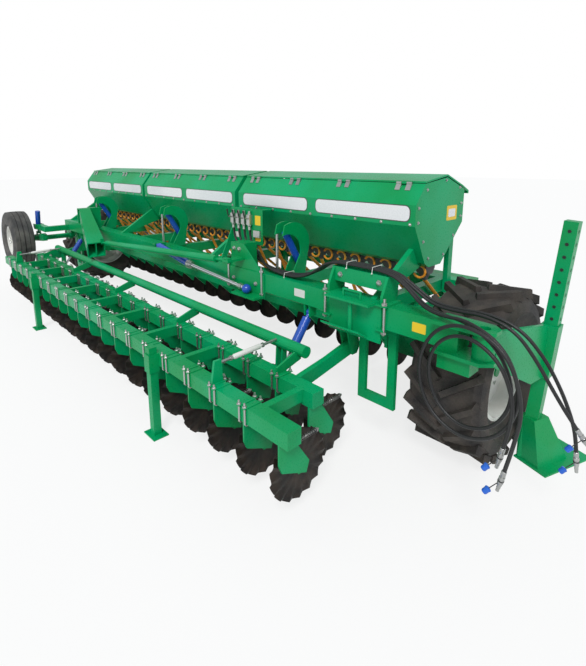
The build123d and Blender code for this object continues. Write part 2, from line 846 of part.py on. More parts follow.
hinge_pin_half = hinge_ear_offset + hinge_ear / 2

# Arched hangers below the beam's ends, and the upper ears of the lift rams.
arch_ranges = ((-3000.0, -2745.0), (2770.0, 3070.0))
arch_bottom_z = 350.0
arch_rail = 60.0
arch_plate = 30.0
arch_y = beam_back_y - 20
arch_solids = []
for low_x, high_x in arch_ranges:
    centre_x = (low_x + high_x) / 2
    arch_width = high_x - low_x
    with BuildPart() as one_arch:
        with BuildSketch(Plane.XZ.offset(-(arch_y + arch_plate))):
            with Locations((centre_x, (beam_bottom_z + arch_bottom_z) / 2)):
                Rectangle(arch_width, beam_bottom_z - arch_bottom_z)
            with Locations((centre_x, (beam_bottom_z + arch_bottom_z) / 2 - 15)):
                window_width = arch_width - 2 * arch_rail
                Rectangle(window_width, 460, mode=Mode.SUBTRACT)
        extrude(amount=arch_plate)
    arch_solids.append(one_arch.part)
# ---------------------------------------------------------------- lift rams of the gang
ram_length = hypot(ram_foot_y - ram_eye_y, ram_foot_z - ram_eye_z)
ram_dir = ((ram_foot_y - ram_eye_y) / ram_length, (ram_foot_z - ram_eye_z) / ram_length)


def along_ram(distance):
    """A (Y, Z) point on a lift ram's axis, measured from its upper eye."""
    return (ram_eye_y + ram_dir[0] * distance, ram_eye_z + ram_dir[1] * distance)


ram_eye_radius = 26.0
ram_eye_width = 24.0
ram_barrel_start = 50.0
ram_neck_radius = 16.0
ram_barrel_end = 270.0
barrel_solids = []
rod_solids = []
for x in (-link_x, link_x):
    with BuildPart() as one_barrel:
        add(rod_between((x, *along_ram(ram_barrel_start)), (x, *along_ram(ram_barrel_end)), ram_radius))
        add(rod_between((x, *along_ram(0)), (x, *along_ram(ram_barrel_start + 1)), ram_neck_radius))
        with BuildSketch(Plane.YZ.offset(x - ram_eye_width / 2)):
            with Locations((ram_eye_y, ram_eye_z)):
                Circle(ram_eye_radius)
        extrude(amount=ram_eye_width)
        with BuildSketch(Plane.YZ.offset(x - ram_radius)):
            with Locations((ram_eye_y, ram_eye_z)):
                Circle(ram_pin_radius + ram_clear)
        extrude(amount=2 * ram_radius, mode=Mode.SUBTRACT)
        bore = rod_between((x, *along_ram(ram_barrel_start + 30)), (x, *along_ram(ram_barrel_end)), ram_rod_radius + ram_clear)
        add(bore, mode=Mode.SUBTRACT)
    barrel_solids.append(one_barrel.part)
with BuildPart() as lift_ram_barrels:
    add(barrel_solids)
lift_ram_barrels.part.label = "lift_ram_barrels"
export_step(lift_ram_barrels.part, "parts/lift_ram_barrels.step")

rod_eye_radius = 30.0
rod_eye_bore = 22.0              # wide, because the rod's eye drifts a little on its pin
for x in (-link_x, link_x):
    with BuildPart() as one_rod:
        add(rod_between((x, *along_ram(150)), (x, *along_ram(ram_length - 24)), ram_rod_radius))
        with BuildSketch(Plane.YZ.offset(x - ram_eye_width / 2)):
            with Locations((ram_foot_y, ram_foot_z)):
                Circle(rod_eye_radius)
        extrude(amount=ram_eye_width)
        with BuildSketch(Plane.YZ.offset(x - ram_eye_width / 2)):
            with Locations((ram_foot_y, ram_foot_z)):
                Circle(rod_eye_bore)
        extrude(amount=ram_eye_width, mode=Mode.SUBTRACT)
    rod_solids.append(one_rod.part)
with BuildPart() as lift_ram_rods:
    add(rod_solids)
lift_ram_rods.part.label = "lift_ram_rods"
export_step(lift_ram_rods.part, "parts/lift_ram_rods.step")

ram_ear = 14.0
ram_ear_offset = ram_eye_width / 2 + hinge_side_gap + ram_ear / 2
ram_ear_profile = [
    (beam_front_y + 5, beam_bottom_z),
    (beam_front_y + 90, beam_bottom_z),
    (ram_eye_y + 30, ram_eye_z - 24),
    (ram_eye_y - 30, ram_eye_z - 24),
]
ram_ear_solids = []
for x in (-link_x, link_x):
    for side in (-1, 1):
        with BuildPart() as one_ear:
            with BuildSketch(Plane.YZ.offset(x + side * ram_ear_offset - ram_ear / 2)):
                with BuildLine():
                    Polyline(*ram_ear_profile, close=True)
                make_face()
                with Locations((ram_eye_y, ram_eye_z)):
                    Circle(ram_pin_radius, mode=Mode.SUBTRACT)
            extrude(amount=ram_ear)
        ram_ear_solids.append(one_ear.part)
ram_pin_half = ram_ear_offset + ram_ear / 2
eye_pins = ((pivot_x, hinge_pin_half, pivot_y, pivot_z, pivot_pin_radius),
            (link_x, ram_pin_half, ram_eye_y, ram_eye_z, ram_pin_radius))
with BuildPart() as beam_ears:
    add(hinge_ear_solids)
    add(ram_ear_solids)
    for pin_x, pin_reach, pin_y, pin_z, pin_radius in eye_pins:
        for x in (-pin_x, pin_x):
            with BuildSketch(Plane.YZ.offset(x - pin_reach)):
                with Locations((pin_y, pin_z)):
                    Circle(pin_radius)
            extrude(amount=2 * pin_reach)
beam_ears.part.label = "beam_ears"
export_step(beam_ears.part, "parts/beam_ears.step")

# ---------------------------------------------------------------- parking legs
leg_sleeve = leg_size + 2 * (leg_gap + leg_sleeve_wall)
leg_sleeve_y = gang_front_y - gang_tube_size / 2 - leg_sleeve / 2
with BuildPart() as gang_brackets:
    add(pedestal_solids)
    add(ear_solids)
    for x in leg_xs:
        with BuildSketch(Plane.XY.offset(gang_bottom_z - 40)):
            with Locations((x, leg_sleeve_y)):
                Rectangle(leg_sleeve, leg_sleeve)
                Rectangle(leg_size + 2 * leg_gap, leg_size + 2 * leg_gap, mode=Mode.SUBTRACT)
        extrude(amount=gang_tube_size + 40)
gang_brackets.part.label = "gang_brackets"
export_step(gang_brackets.part, "parts/gang_brackets.step")

for side, x in zip(("left", "right"), leg_xs):
    with BuildPart() as leg:
        with BuildSketch():
            with Locations((x, leg_sleeve_y)):
                Rectangle(leg_foot_x, leg_foot_y)
        extrude(amount=leg_foot_plate)
        with BuildSketch(Plane.XY.offset(leg_foot_plate)):
            with Locations((x, leg_sleeve_y)):
                Rectangle(leg_size, leg_size)
        extrude(amount=leg_top_z - leg_foot_plate)
    leg.part.label = f"parking_leg_{side}"
    export_step(leg.part, f"parts/parking_leg_{side}.step")

# ---------------------------------------------------------------- field wheels
lug_length = 290.0
lug_width = 52.0
lug_slant = 38.0                 # degrees from the axle's direction
lug_taper = 8.0
lug_root = 30.0                  # depth of a lug's foot inside the carcass
carcass_radius = field_radius - field_lug_height
lug_depth = lug_root + field_lug_height
lug_reach = (
    lug_length * sin(radians(lug_slant)) + lug_width * cos(radians(lug_slant))
) / 2 - lug_depth * tan(radians(lug_taper))
lug_top = (field_radius**2 - lug_reach**2) ** 0.5


def tyre_profile(outer, rim, half_width):
    """Half the section of a tyre in (X, radius) points, from bead to bead."""
    shoulder = outer - 45
    middle = (outer + rim) / 2
    return [
        (-half_width * 0.72, rim),
        (-half_width, middle),
        (-half_width * 0.94, shoulder),
        (-half_width * 0.80, outer - 8),
        (0.0, outer),
        (half_width * 0.80, outer - 8),
        (half_width * 0.94, shoulder),
        (half_width, middle),
        (half_width * 0.72, rim),
    ]


def wheel_ring(points):
    """A ring about the X axis from a closed (X, radius) section."""
    with BuildPart() as ring:
        with BuildSketch(Plane.XZ):
            with BuildLine():
                Polyline(*points, close=True)
            make_face()
        revolve(axis=Axis.X)
    return ring.part


def field_tyre():
    """A lug tyre about the X axis, with slanting lugs from both shoulders."""
    half = field_width / 2
    with BuildPart() as tyre:
        add(wheel_ring(tyre_profile(carcass_radius, field_rim_radius, half)))
        for side in (-1, 1):
            for k in range(field_lugs):
                turn = 360.0 * (k + 0.25 * (side + 1)) / field_lugs
                lug_plane = Plane.XY.rotated((turn, 0, 0))
                with BuildSketch(lug_plane.offset(carcass_radius - lug_root)):
                    with Locations(Location((side * half * 0.49, 0), side * lug_slant)):
                        Rectangle(lug_length, lug_width)
                extrude(amount=lug_top - carcass_radius + lug_root, taper=lug_taper)
    return tyre.part


def field_rim(side):
    """A dished disc wheel for a field tyre; side is where its outer face points."""
    half = field_width / 2
    lip = half * 0.72
    inner = field_rim_radius - 22
    dish = side * 60.0
    with BuildPart() as rim:
        add(wheel_ring([
            (-lip, inner),
            (-lip, field_rim_radius - 0.3),
            (lip, field_rim_radius - 0.3),
            (lip, inner),
        ]))
        with BuildSketch(Plane.YZ.offset(dish - 8)):
            Circle(inner + 2)
            Circle(stub_radius + 0.05, mode=Mode.SUBTRACT)
            with PolarLocations(inner * 0.66, 8):
                Circle(30, mode=Mode.SUBTRACT)
        extrude(amount=16)
        with BuildSketch(Plane.YZ.offset(dish - side * 130)):
            Circle(stub_radius + 32)
            Circle(stub_radius + 0.05, mode=Mode.SUBTRACT)
        extrude(amount=side * 190)
    return rim.part


plain_field_tyre = field_tyre()
for side, sign in (("left", -1), ("right", 1)):
    place = Location((sign * field_x, axle_y, field_radius))
    with BuildPart() as tyre:
        add(plain_field_tyre.moved(place))
    tyre.part.label = f"field_tyre_{side}"
    export_step(tyre.part, f"parts/field_tyre_{side}.step")
    with BuildPart() as rim:
        add(field_rim(sign).moved(place))
    rim.part.label = f"field_rim_{side}"
    export_step(rim.part, f"parts/field_rim_{side}.step")

# Hangers between frame and axle, and the stub axles that the hubs turn on.
wheel_hanger_profile = [
    (arch_y + arch_plate, beam_bottom_z),
    (rear_beam_back_y, beam_bottom_z),
    (rear_beam_back_y, beam_bottom_z - 70),
    (axle_y + 80, field_radius - 70),
    (axle_y - 80, field_radius - 70),
    (arch_y + arch_plate, beam_bottom_z - 200),
]
hanger_solids = [
    side_plate(wheel_hanger_profile, x, wheel_hanger_plate) for x in (-wheel_hanger_x, wheel_hanger_x)
]
stub_start_x = wheel_hanger_x + wheel_hanger_plate / 2
stub_end_x = field_x + 130
with BuildPart() as frame_hangers:
    add(arch_solids)
    add(hanger_solids)
    for bar_y, _ in opener_banks:
        for x in hanger_xs:
            block(
                (x - hanger_post / 2, x + hanger_post / 2),
                (bar_y - hanger_post / 2, bar_y + hanger_post / 2),
                (bar_z + bar_size / 2, beam_bottom_z),
            )
    for sign in (-1, 1):
        with BuildSketch(Plane.YZ.offset(sign * stub_start_x)):
            with Locations((axle_y, field_radius)):
                Circle(stub_radius)
        extrude(amount=sign * (stub_end_x - stub_start_x))
frame_hangers.part.label = "frame_hangers"
export_step(frame_hangers.part, "parts/frame_hangers.step")

# ---------------------------------------------------------------- end-tow axle
tow_ram_y = transport_arm_front_y
tow_ram_x = transport_pivot_x - 290.0
tow_trunnion_z = 1010.0
tow_pin_x = tow_ram_x - 20.0     # rod's pin on the front crank
tow_pin_z = 915.0
tow_pin_radius = 10.0
tow_eye_radius = 24.0
tow_eye_bore = 15.0              # wide, because the eye drifts a little on its pin
tow_eye_width = 18.0
tow_ram_radius = 36.0
tow_rod_radius = 16.0
tow_barrel_foot = 40.0
tow_barrel_reach = 250.0
tow_cheek = 12.0
tow_cheek_offset = tow_ram_radius + 10 + tow_cheek / 2
tow_trunnion_radius = 14.0
tow_lug = 8.0
tow_lug_offset = tow_rod_radius + 5 + tow_lug / 2
tow_length = hypot(tow_pin_x - tow_ram_x, tow_pin_z - tow_trunnion_z)
tow_unit = ((tow_pin_x - tow_ram_x) / tow_length, (tow_pin_z - tow_trunnion_z) / tow_length)
tow_cheek_profile = [
    (tow_ram_x - 50, tow_trunnion_z + 40),
    (tow_ram_x + 90, tow_trunnion_z + 40),
    (tow_ram_x + 90, tow_trunnion_z - 40),
    (tow_ram_x - 20, tow_trunnion_z - 40),
    (tow_ram_x - 50, tow_trunnion_z - 10),
]


def along_tow(distance):
    """A point on the axis of the end-tow axle's ram, measured from its trunnions."""
    return (
        tow_ram_x + tow_unit[0] * distance,
        tow_ram_y,
        tow_trunnion_z + tow_unit[1] * distance,
    )


transport_stub = 28.0
transport_hub = 55.0
transport_wheels = (
    ("front", transport_front_y, transport_arm_front_y),
    ("rear", transport_rear_y, transport_arm_rear_y),
)
crank_profile = [
    (transport_pivot_x + transport_arm / 2, transport_pivot_z - transport_arm * 0.8),
    (transport_pivot_x + transport_arm / 2, transport_pivot_z + transport_arm * 0.8),
    (transport_pivot_x - transport_arm, transport_pivot_z + transport_arm),
    (transport_wheel_x - transport_arm, transport_wheel_z + transport_arm * 0.8),
    (transport_wheel_x - transport_arm, transport_wheel_z - transport_arm * 0.8),
]
lug_profile = [
    (tow_pin_x - 45, tow_pin_z - 50),
    (tow_pin_x + 45, tow_pin_z - 45),
    (tow_pin_x + 20, tow_pin_z + 18),
    (tow_pin_x - 20, tow_pin_z + 18),
]
with BuildPart() as transport_axle:
    with BuildSketch(Plane.XZ.offset(-transport_arm_rear_y)):
        with Locations((transport_pivot_x, transport_pivot_z)):
            Circle(transport_tube_radius)
    extrude(amount=transport_arm_rear_y - transport_arm_front_y)
    for _, wheel_y, arm_y in transport_wheels:
        add(front_plate(crank_profile, arm_y - transport_arm / 2, transport_arm))
        outward = 1 if wheel_y > arm_y else -1
        stub_length = abs(wheel_y - arm_y) + 60
        with BuildSketch(Plane.XZ.offset(-arm_y)):
            with Locations((transport_wheel_x, transport_wheel_z)):
                Circle(transport_stub)
        extrude(amount=-outward * stub_length)
    for sign in (-1, 1):
        add(front_plate(lug_profile, tow_ram_y + sign * tow_lug_offset - tow_lug / 2, tow_lug))
    with BuildSketch(Plane.XZ.offset(-(tow_ram_y + tow_lug_offset))):
        with Locations((tow_pin_x, tow_pin_z)):
            Circle(tow_pin_radius)
    extrude(amount=2 * tow_lug_offset)
transport_axle.part.label = "transport_axle"
export_step(transport_axle.part, "parts/transport_axle.step")

transport_half = transport_width / 2
transport_lip = transport_half * 0.72
plain_transport_tyre = wheel_ring(
    tyre_profile(transport_radius, transport_rim_radius, transport_half)
)
with BuildPart() as transport_rim:
    add(wheel_ring([
        (-transport_lip, transport_rim_radius - 18),
        (-transport_lip, transport_rim_radius - 0.3),
        (transport_lip, transport_rim_radius - 0.3),
        (transport_lip, transport_rim_radius - 18),
    ]))
    with BuildSketch(Plane.YZ.offset(20)):
        Circle(transport_rim_radius - 16)
        Circle(transport_stub + 0.05, mode=Mode.SUBTRACT)
        with PolarLocations(transport_rim_radius * 0.6, 6):
            Circle(22, mode=Mode.SUBTRACT)
    extrude(amount=12)
    with BuildSketch(Plane.YZ.offset(-70)):
        Circle(transport_hub)
        Circle(transport_stub + 0.05, mode=Mode.SUBTRACT)
    extrude(amount=120)
for side, wheel_y, arm_y in transport_wheels:
    turn = -90 if wheel_y < arm_y else 90
    place = Location((transport_wheel_x, wheel_y, transport_wheel_z), (0, 0, turn))
    with BuildPart() as tyre:
        add(plain_transport_tyre.moved(place))
    tyre.part.label = f"transport_tyre_{side}"
    export_step(tyre.part, f"parts/transport_tyre_{side}.step")
    with BuildPart() as rim:
        add(transport_rim.part.moved(place))
    rim.part.label = f"transport_rim_{side}"
    export_step(rim.part, f"parts/transport_rim_{side}.step")

# ---------------------------------------------------------------- ram of the end-tow axle
with BuildPart() as tow_ram_barrel:
    add(rod_between(along_tow(tow_barrel_foot), along_tow(-tow_barrel_reach), tow_ram_radius))
    for sign in (-1, 1):
        with BuildSketch(Plane.XZ.offset(-(tow_ram_y + sign * (tow_rod_radius + 6)))):
            with Locations((tow_ram_x, tow_trunnion_z)):
                Circle(tow_trunnion_radius)
        extrude(amount=-sign * (tow_cheek_offset + tow_cheek / 2 - tow_rod_radius - 6))
    add(
        rod_between(
            along_tow(tow_barrel_foot), along_tow(15 - tow_barrel_reach), tow_rod_radius + ram_clear
        ),
        mode=Mode.SUBTRACT,
    )
tow_ram_barrel.part.label = "tow_ram_barrel"
export_step(tow_ram_barrel.part, "parts/tow_ram_barrel.step")

with BuildPart() as tow_ram_rod:
    add(rod_between(along_tow(tow_length - 4), along_tow(25 - tow_barrel_reach), tow_rod_radius))
    with BuildSketch(Plane.XZ.offset(-(tow_ram_y + tow_eye_width / 2))):
        with Locations((tow_pin_x, tow_pin_z)):
            Circle(tow_eye_radius)
    extrude(amount=tow_eye_width)
    with BuildSketch(Plane.XZ.offset(-(tow_ram_y + 2 * tow_eye_width))):
        with Locations((tow_pin_x, tow_pin_z)):
            Circle(tow_eye_bore)
    extrude(amount=4 * tow_eye_width, mode=Mode.SUBTRACT)
tow_ram_rod.part.label = "tow_ram_rod"
export_step(tow_ram_rod.part, "parts/tow_ram_rod.step")

# ---------------------------------------------------------------- beam end, knuckle and tower
bracket_plate = 20.0
bracket_front_y = tower_pin_y - 90
bracket_back_y = tower_pin_y + 90
bracket_right_x = tower_pin_x + 75
top_plate_profile = [
    (beam_right_x - 130, bracket_front_y),
    (tower_pin_x + 20, bracket_front_y),
    (bracket_right_x, bracket_front_y + 55),
    (bracket_right_x, bracket_back_y - 55),
    (tower_pin_x + 20, bracket_back_y),
    (beam_right_x - 130, bracket_back_y),
]
king_bore_radius = 30.0
bearing_width = 60.0
bearing_outer = transport_tube_radius + 22
bearings = (
    (beam_back_y - 75, beam_left_x + 100),
    (rear_beam_y + 50, -wheel_hanger_x - wheel_hanger_plate / 2),
)
tow_arm_low_z = tow_trunnion_z - 40
tow_arm_high_z = tow_trunnion_z + 40
tow_outer_y = tow_cheek_offset + tow_cheek / 2
tow_end_x = tow_ram_x + 90
tow_join_x = beam_left_x + 160
with BuildPart() as beam_brackets:
    # Plates and gusset that hold the knuckle's king pin at the right end.
    for low_z in (beam_top_z, beam_bottom_z - bracket_plate):
        with BuildSketch(Plane.XY.offset(low_z)):
            with BuildLine():
                Polyline(*top_plate_profile, close=True)
            make_face()
            with Locations((tower_pin_x, tower_pin_y)):
                Circle(king_bore_radius, mode=Mode.SUBTRACT)
        extrude(amount=bracket_plate)
    block(
        (beam_right_x - 100, tower_pin_x - king_bore_radius - 10),
        (bracket_front_y + 30, bracket_back_y - 30),
        (beam_bottom_z - bracket_plate - 90, beam_bottom_z - bracket_plate),
    )
    # Bearings of the end-tow axle below the left end.
    for y, inner_x in bearings:
        with BuildSketch(Plane.XZ.offset(-(y + bearing_width / 2))):
            with Locations(
                ((transport_pivot_x - bearing_outer + inner_x) / 2,
                 (transport_pivot_z + beam_bottom_z) / 2)
            ):
                Rectangle(
                    inner_x - transport_pivot_x + bearing_outer,
                    beam_bottom_z - transport_pivot_z,
                )
            with Locations((transport_pivot_x, transport_pivot_z)):
                Circle(bearing_outer)
                Circle(transport_tube_radius + ram_clear, mode=Mode.SUBTRACT)
        extrude(amount=bearing_width)
    # Fork that carries the axle's ram by its trunnions.
    for sign in (-1, 1):
        cheek_front_y = tow_ram_y + sign * tow_cheek_offset - tow_cheek / 2
        with BuildSketch(Plane.XZ.offset(-(cheek_front_y + tow_cheek))):
            with BuildLine():
                Polyline(*tow_cheek_profile, close=True)
            make_face()
            with Locations((tow_ram_x, tow_trunnion_z)):
                Circle(tow_trunnion_radius + ram_clear, mode=Mode.SUBTRACT)
        extrude(amount=tow_cheek)
    block(
        (tow_end_x - 14, tow_end_x),
        (tow_ram_y - tow_outer_y, tow_ram_y + tow_outer_y),
        (tow_arm_low_z, tow_arm_high_z),
    )
    block(
        (tow_end_x, tow_join_x),
        (tow_ram_y - 40, tow_ram_y + 40),
        (tow_arm_low_z, tow_arm_high_z),
    )
    block(
        (tow_join_x - 80, tow_join_x),
        (tow_ram_y + 40, beam_front_y),
        (tow_arm_low_z, tow_arm_high_z),
    )
beam_brackets.part.label = "beam_brackets"
export_step(beam_brackets.part, "parts/beam_brackets.step")

knuckle_radius = 58.0
knuckle_gap = 1.0
sleeve_wall = 10.0
sleeve_bottom_z = 640.0
sleeve_top_z = 1000.0
sleeve_x = post_x + tan(radians(post_lean)) * (sleeve_bottom_z + sleeve_top_z) / 2
tower_reach = hypot(sleeve_x - tower_pin_x, post_y - tower_pin_y)
tower_unit = ((sleeve_x - tower_pin_x) / tower_reach, (post_y - tower_pin_y) / tower_reach)
sleeve_size = post_size + 2 * (leg_gap + sleeve_wall)
web_plate = 24.0
web_profile = [
    (knuckle_radius - 10, beam_top_z - 15),
    (tower_reach - sleeve_size * 0.45, sleeve_top_z),
    (tower_reach - sleeve_size * 0.45, sleeve_bottom_z),
    (tower_reach - 200, sleeve_bottom_z),
    (knuckle_radius + 60, beam_bottom_z - 90),
    (knuckle_radius + 60, beam_bottom_z + knuckle_gap),
    (knuckle_radius - 10, beam_bottom_z + knuckle_gap),
]
leaning_axis = Plane(
    origin=(post_x, post_y, 0),
    x_dir=(cos(radians(post_lean)), 0, -sin(radians(post_lean))),
    z_dir=(sin(radians(post_lean)), 0, cos(radians(post_lean))),
)
web_plane = Plane(
    origin=(tower_pin_x, tower_pin_y, 0),
    x_dir=(*tower_unit, 0),
    z_dir=(tower_unit[1], -tower_unit[0], 0),
)
with BuildPart() as tower_arm:
    with BuildSketch(Plane.XY.offset(beam_bottom_z + knuckle_gap)):
        with Locations((tower_pin_x, tower_pin_y)):
            Circle(knuckle_radius)
            Circle(king_bore_radius, mode=Mode.SUBTRACT)
    extrude(amount=beam_size - 2 * knuckle_gap)
    with BuildSketch(web_plane):
        with BuildLine():
            Polyline(*web_profile, close=True)
        make_face()
    extrude(amount=web_plate / 2, both=True)
    with BuildSketch(leaning_axis.offset(sleeve_bottom_z)):
        Rectangle(sleeve_size, sleeve_size)
    extrude(amount=sleeve_top_z - sleeve_bottom_z)
    with BuildSketch(leaning_axis.offset(sleeve_bottom_z - 50)):
        Rectangle(post_size + 2 * leg_gap, post_size + 2 * leg_gap)
    extrude(amount=sleeve_top_z - sleeve_bottom_z + 100, mode=Mode.SUBTRACT)
tower_arm.part.label = "tower_arm"
export_step(tower_arm.part, "parts/tower_arm.step")

foot_box_top_z = 330.0
foot_plane = Plane(
    origin=(foot_x, foot_y, 0),
    x_dir=(cos(radians(foot_turn)), sin(radians(foot_turn)), 0),
    z_dir=(0, 0, 1),
)
with BuildPart() as tower_leg:
    with BuildSketch(leaning_axis.offset(foot_plate)):
        Rectangle(post_size, post_size)
    extrude(amount=post_top_z / cos(radians(post_lean)) - foot_plate)
    with BuildSketch(foot_plane):
        Rectangle(foot_length, foot_width)
    extrude(amount=foot_plate)
    with BuildSketch(foot_plane.offset(foot_plate)):
        with Locations((-70, 30)):
            Rectangle(foot_length * 0.62, foot_width * 0.7)
    with BuildSketch(foot_plane.offset(foot_box_top_z)):
        with Locations((-150, 60)):
            Rectangle(foot_length * 0.3, foot_width * 0.45)
    loft(ruled=True)
tower_leg.part.label = "tower_leg"
export_step(tower_leg.part, "parts/tower_leg.step")

# ---------------------------------------------------------------- brackets on the beam's front
clamp_cheek_profile = [
    (beam_front_y - 15, beam_top_z),
    (beam_back_y, beam_top_z),
    (beam_back_y + 10, clamp_top_z),
    (beam_front_y + 40, clamp_top_z),
    (beam_front_y - 15, beam_top_z + 60),
]
clamp_lip_profile = [
    (beam_front_y, beam_bottom_z - 102),
    (beam_front_y - 105, beam_bottom_z - 40),
    (beam_front_y - 105, beam_bottom_z - 26),
    (beam_front_y, beam_bottom_z - 88),
]
clamp_lip_left_x = clamp_left_x + 10
clamp_lip_right_x = clamp_left_x + 340
clamp_handle_x = 2830.0
fin_profile = [
    (tall_right_x, beam_top_z),
    (fin_right_x, beam_top_z),
    (tall_right_x, tall_top_z),
]
stay_ear_profile = [
    (tall_left_x + 70, beam_front_y),
    (tall_right_x + 20, beam_front_y),
    (tall_right_x + 20, stay_y - 30),
    (tall_right_x - 48, stay_y - 30),
    (tall_right_x - 48, stay_y + 45),
]
panel_stay_profile = [
    (beam_back_y - 60, beam_top_z),
    (beam_back_y, beam_top_z),
    (panel_y - 4, panel_bottom_z),
    (panel_y - 4, panel_bottom_z + 120),
    (panel_y - 16, panel_bottom_z + 120),
]
stay_ear_z = 1205.0
with BuildPart() as front_brackets:
    # Clamp bracket: two cheeks, a channel between them, a shelf, a lip and its pin.
    for x in (clamp_left_x, clamp_right_x):
        add(side_plate(clamp_cheek_profile, x, 20))
        block((x - 30, x + 30), (beam_front_y - 30, beam_back_y - 30), (beam_bottom_z - 12, beam_bottom_z))
        block((x - 45, x + 45), (beam_front_y - 30, beam_back_y), (beam_top_z, beam_top_z + 12))
    block(
        (clamp_left_x, clamp_right_x),
        (beam_front_y + 40, beam_front_y + 52),
        (clamp_top_z - 100, clamp_top_z),
    )
    block(
        (clamp_left_x, clamp_right_x),
        (beam_front_y + 40, beam_back_y + 10),
        (clamp_top_z - 12, clamp_top_z),
    )
    block(
        (clamp_left_x + 40, clamp_right_x - 40),
        (beam_front_y - 100, beam_front_y + 40),
        (beam_top_z, beam_top_z + 14),
    )
    block(
        (clamp_lip_left_x, clamp_right_x),
        (beam_front_y - 12, beam_front_y),
        (beam_bottom_z - 102, beam_top_z),
    )
    add(side_plate(
        clamp_lip_profile,
        (clamp_lip_left_x + clamp_lip_right_x) / 2,
        clamp_lip_right_x - clamp_lip_left_x,
    ))
    add(rod_between(
        (clamp_handle_x, beam_front_y - 60, beam_bottom_z - 60),
        (clamp_handle_x, beam_front_y - 60, beam_top_z),
        15, 12,
    ))
    for x in (clamp_handle_x - 70, clamp_handle_x + 70):
        block((x - 6, x + 6), (beam_front_y - 50, beam_front_y - 38), (beam_top_z + 14, beam_top_z + 60))
    block(
        (clamp_handle_x - 76, clamp_handle_x + 76),
        (beam_front_y - 50, beam_front_y - 38),
        (beam_top_z + 60, beam_top_z + 72),
    )
    # Tall bracket: a box on the beam, a fin beside it, a face plate and a shelf below.
    block((tall_left_x, tall_right_x), (beam_front_y, beam_front_y + 12), (beam_top_z, tall_top_z))
    block((tall_left_x, tall_right_x), (beam_front_y, beam_back_y), (tall_top_z - 12, tall_top_z))
    for x in (tall_left_x, tall_right_x - 12):
        block((x, x + 12), (beam_front_y, beam_back_y), (beam_top_z, tall_top_z))
    add(front_plate(fin_profile, beam_front_y, 12))
    block(
        (tall_left_x - 40, fin_right_x + 40),
        (beam_front_y - 12, beam_front_y),
        (beam_bottom_z - 52, beam_top_z),
    )
    block(
        (fold_ball[0] - 140, fin_right_x + 40),
        (beam_front_y - 120, beam_front_y),
        (fold_ball[1] - 58, fold_ball[1] - 40),
    )
    with BuildSketch(Plane.XY.offset(stay_ear_z - 10)):
        with BuildLine():
            Polyline(*stay_ear_profile, close=True)
        make_face()
    extrude(amount=20)
    # Lug behind the folding ram's barrel.
    block((fold_start[0] - 110, fold_start[0] - 58), (fold_y - 25, fold_y + 105), (beam_top_z, 1160))
    # Valve panel with its foot on the beam and two straps to the hopper.
    block((panel_left_x, panel_right_x), (panel_y - 4, panel_y), (panel_bottom_z, panel_top_z))
    add(side_plate(panel_stay_profile, panel_left_x + 12, 12))
    for x in (panel_left_x + 60, panel_right_x - 60):
        block((x - 12, x + 12), (panel_y, hopper_front_y), (panel_top_z - 15, panel_top_z - 9))
front_brackets.part.label = "front_brackets"
export_step(front_brackets.part, "parts/front_brackets.step")

valve_xs = (1200.0, 1280.0, 1360.0, 1440.0)
valve_bottom_z = 1455.0
valve_depth = 36.0
with BuildPart() as valve_blocks:
    for x in valve_xs:
        block((x - 22, x + 22), (panel_y - 4 - valve_depth, panel_y - 4), (valve_bottom_z, valve_bottom_z + 90))
    block((1490.0, 1580.0), (panel_y - 24, panel_y - 4), (1350.0, 1410.0))
valve_blocks.part.label = "valve_blocks"
export_step(valve_blocks.part, "parts/valve_blocks.step")

# Stay tube with a fork at the tall bracket and a plain eye rod at the socket arm.
fork_x = tall_right_x - 70
with BuildPart() as stay_tube:
    add(rod_between((stay_left[0], stay_y, stay_left[1]), (stay_right[0], stay_y, stay_right[1]), stay_radius, 12))
    add(rod_between((stay_right[0], stay_y, stay_right[1]), (fork_x, stay_y, stay_ear_z - 3), 14, 8))
    add(rod_between((stay_left[0], stay_y, stay_left[1]), (socket_open_x + 2, stay_y, 1010), 14, 8))
    block((fork_x - 2, fork_x + 18), (stay_y - 20, stay_y + 20), (stay_ear_z - 21, stay_ear_z + 21))
    for low_z in (stay_ear_z - 21, stay_ear_z + 11):
        block((fork_x, fork_x + 75), (stay_y - 20, stay_y + 20), (low_z, low_z + 10))
stay_tube.part.label = "stay_tube"
export_step(stay_tube.part, "parts/stay_tube.step")

# Folding ram: barrel, rod and ball.
with BuildPart() as fold_ram:
    add(rod_between((fold_start[0], fold_y, fold_start[1]), (fold_gland[0], fold_y, fold_gland[1]), 36, 12))
    add(rod_between((fold_start[0] - 56, fold_y, fold_start[1] + 8), (fold_start[0], fold_y, fold_start[1]), 14, 8))
    add(rod_between((fold_gland[0], fold_y, fold_gland[1]), (fold_ball[0], fold_y, fold_ball[1]), 16, 8))
    with Locations((fold_ball[0], fold_y, fold_ball[1])):
        Sphere(40)
fold_ram.part.label = "fold_ram"
export_step(fold_ram.part, "parts/fold_ram.step")

# Drawbar socket: a tapered box that leans down and forward, open at its wide end.
socket_sections = (
    (socket_root_x, (-690.0, 1285.0), (140.0, 210.0)),
    (socket_open_x, (-830.0, 930.0), (220.0, 184.0)),
)


def tapered_box(sections):
    """A straight-sided box between two rectangles, each (X, centre (Y, Z), size)."""
    with BuildPart() as taper:
        for x, centre, size in sections:
            with BuildSketch(Plane.YZ.offset(x)):
                with Locations(centre):
                    Rectangle(*size)
        loft(ruled=True)
    return taper.part


def shrunk(sections, wall):
    """The same rectangles with a wall's thickness taken off each side."""
    return [(x, centre, (size[0] - 2 * wall, size[1] - 2 * wall)) for x, centre, size in sections]


def web_sections(sections, thickness):
    """The same rectangles narrowed to an upright web in their middle."""
    return [(x, centre, (thickness, size[1] - 2 * socket_wall + 2)) for x, centre, size in sections]


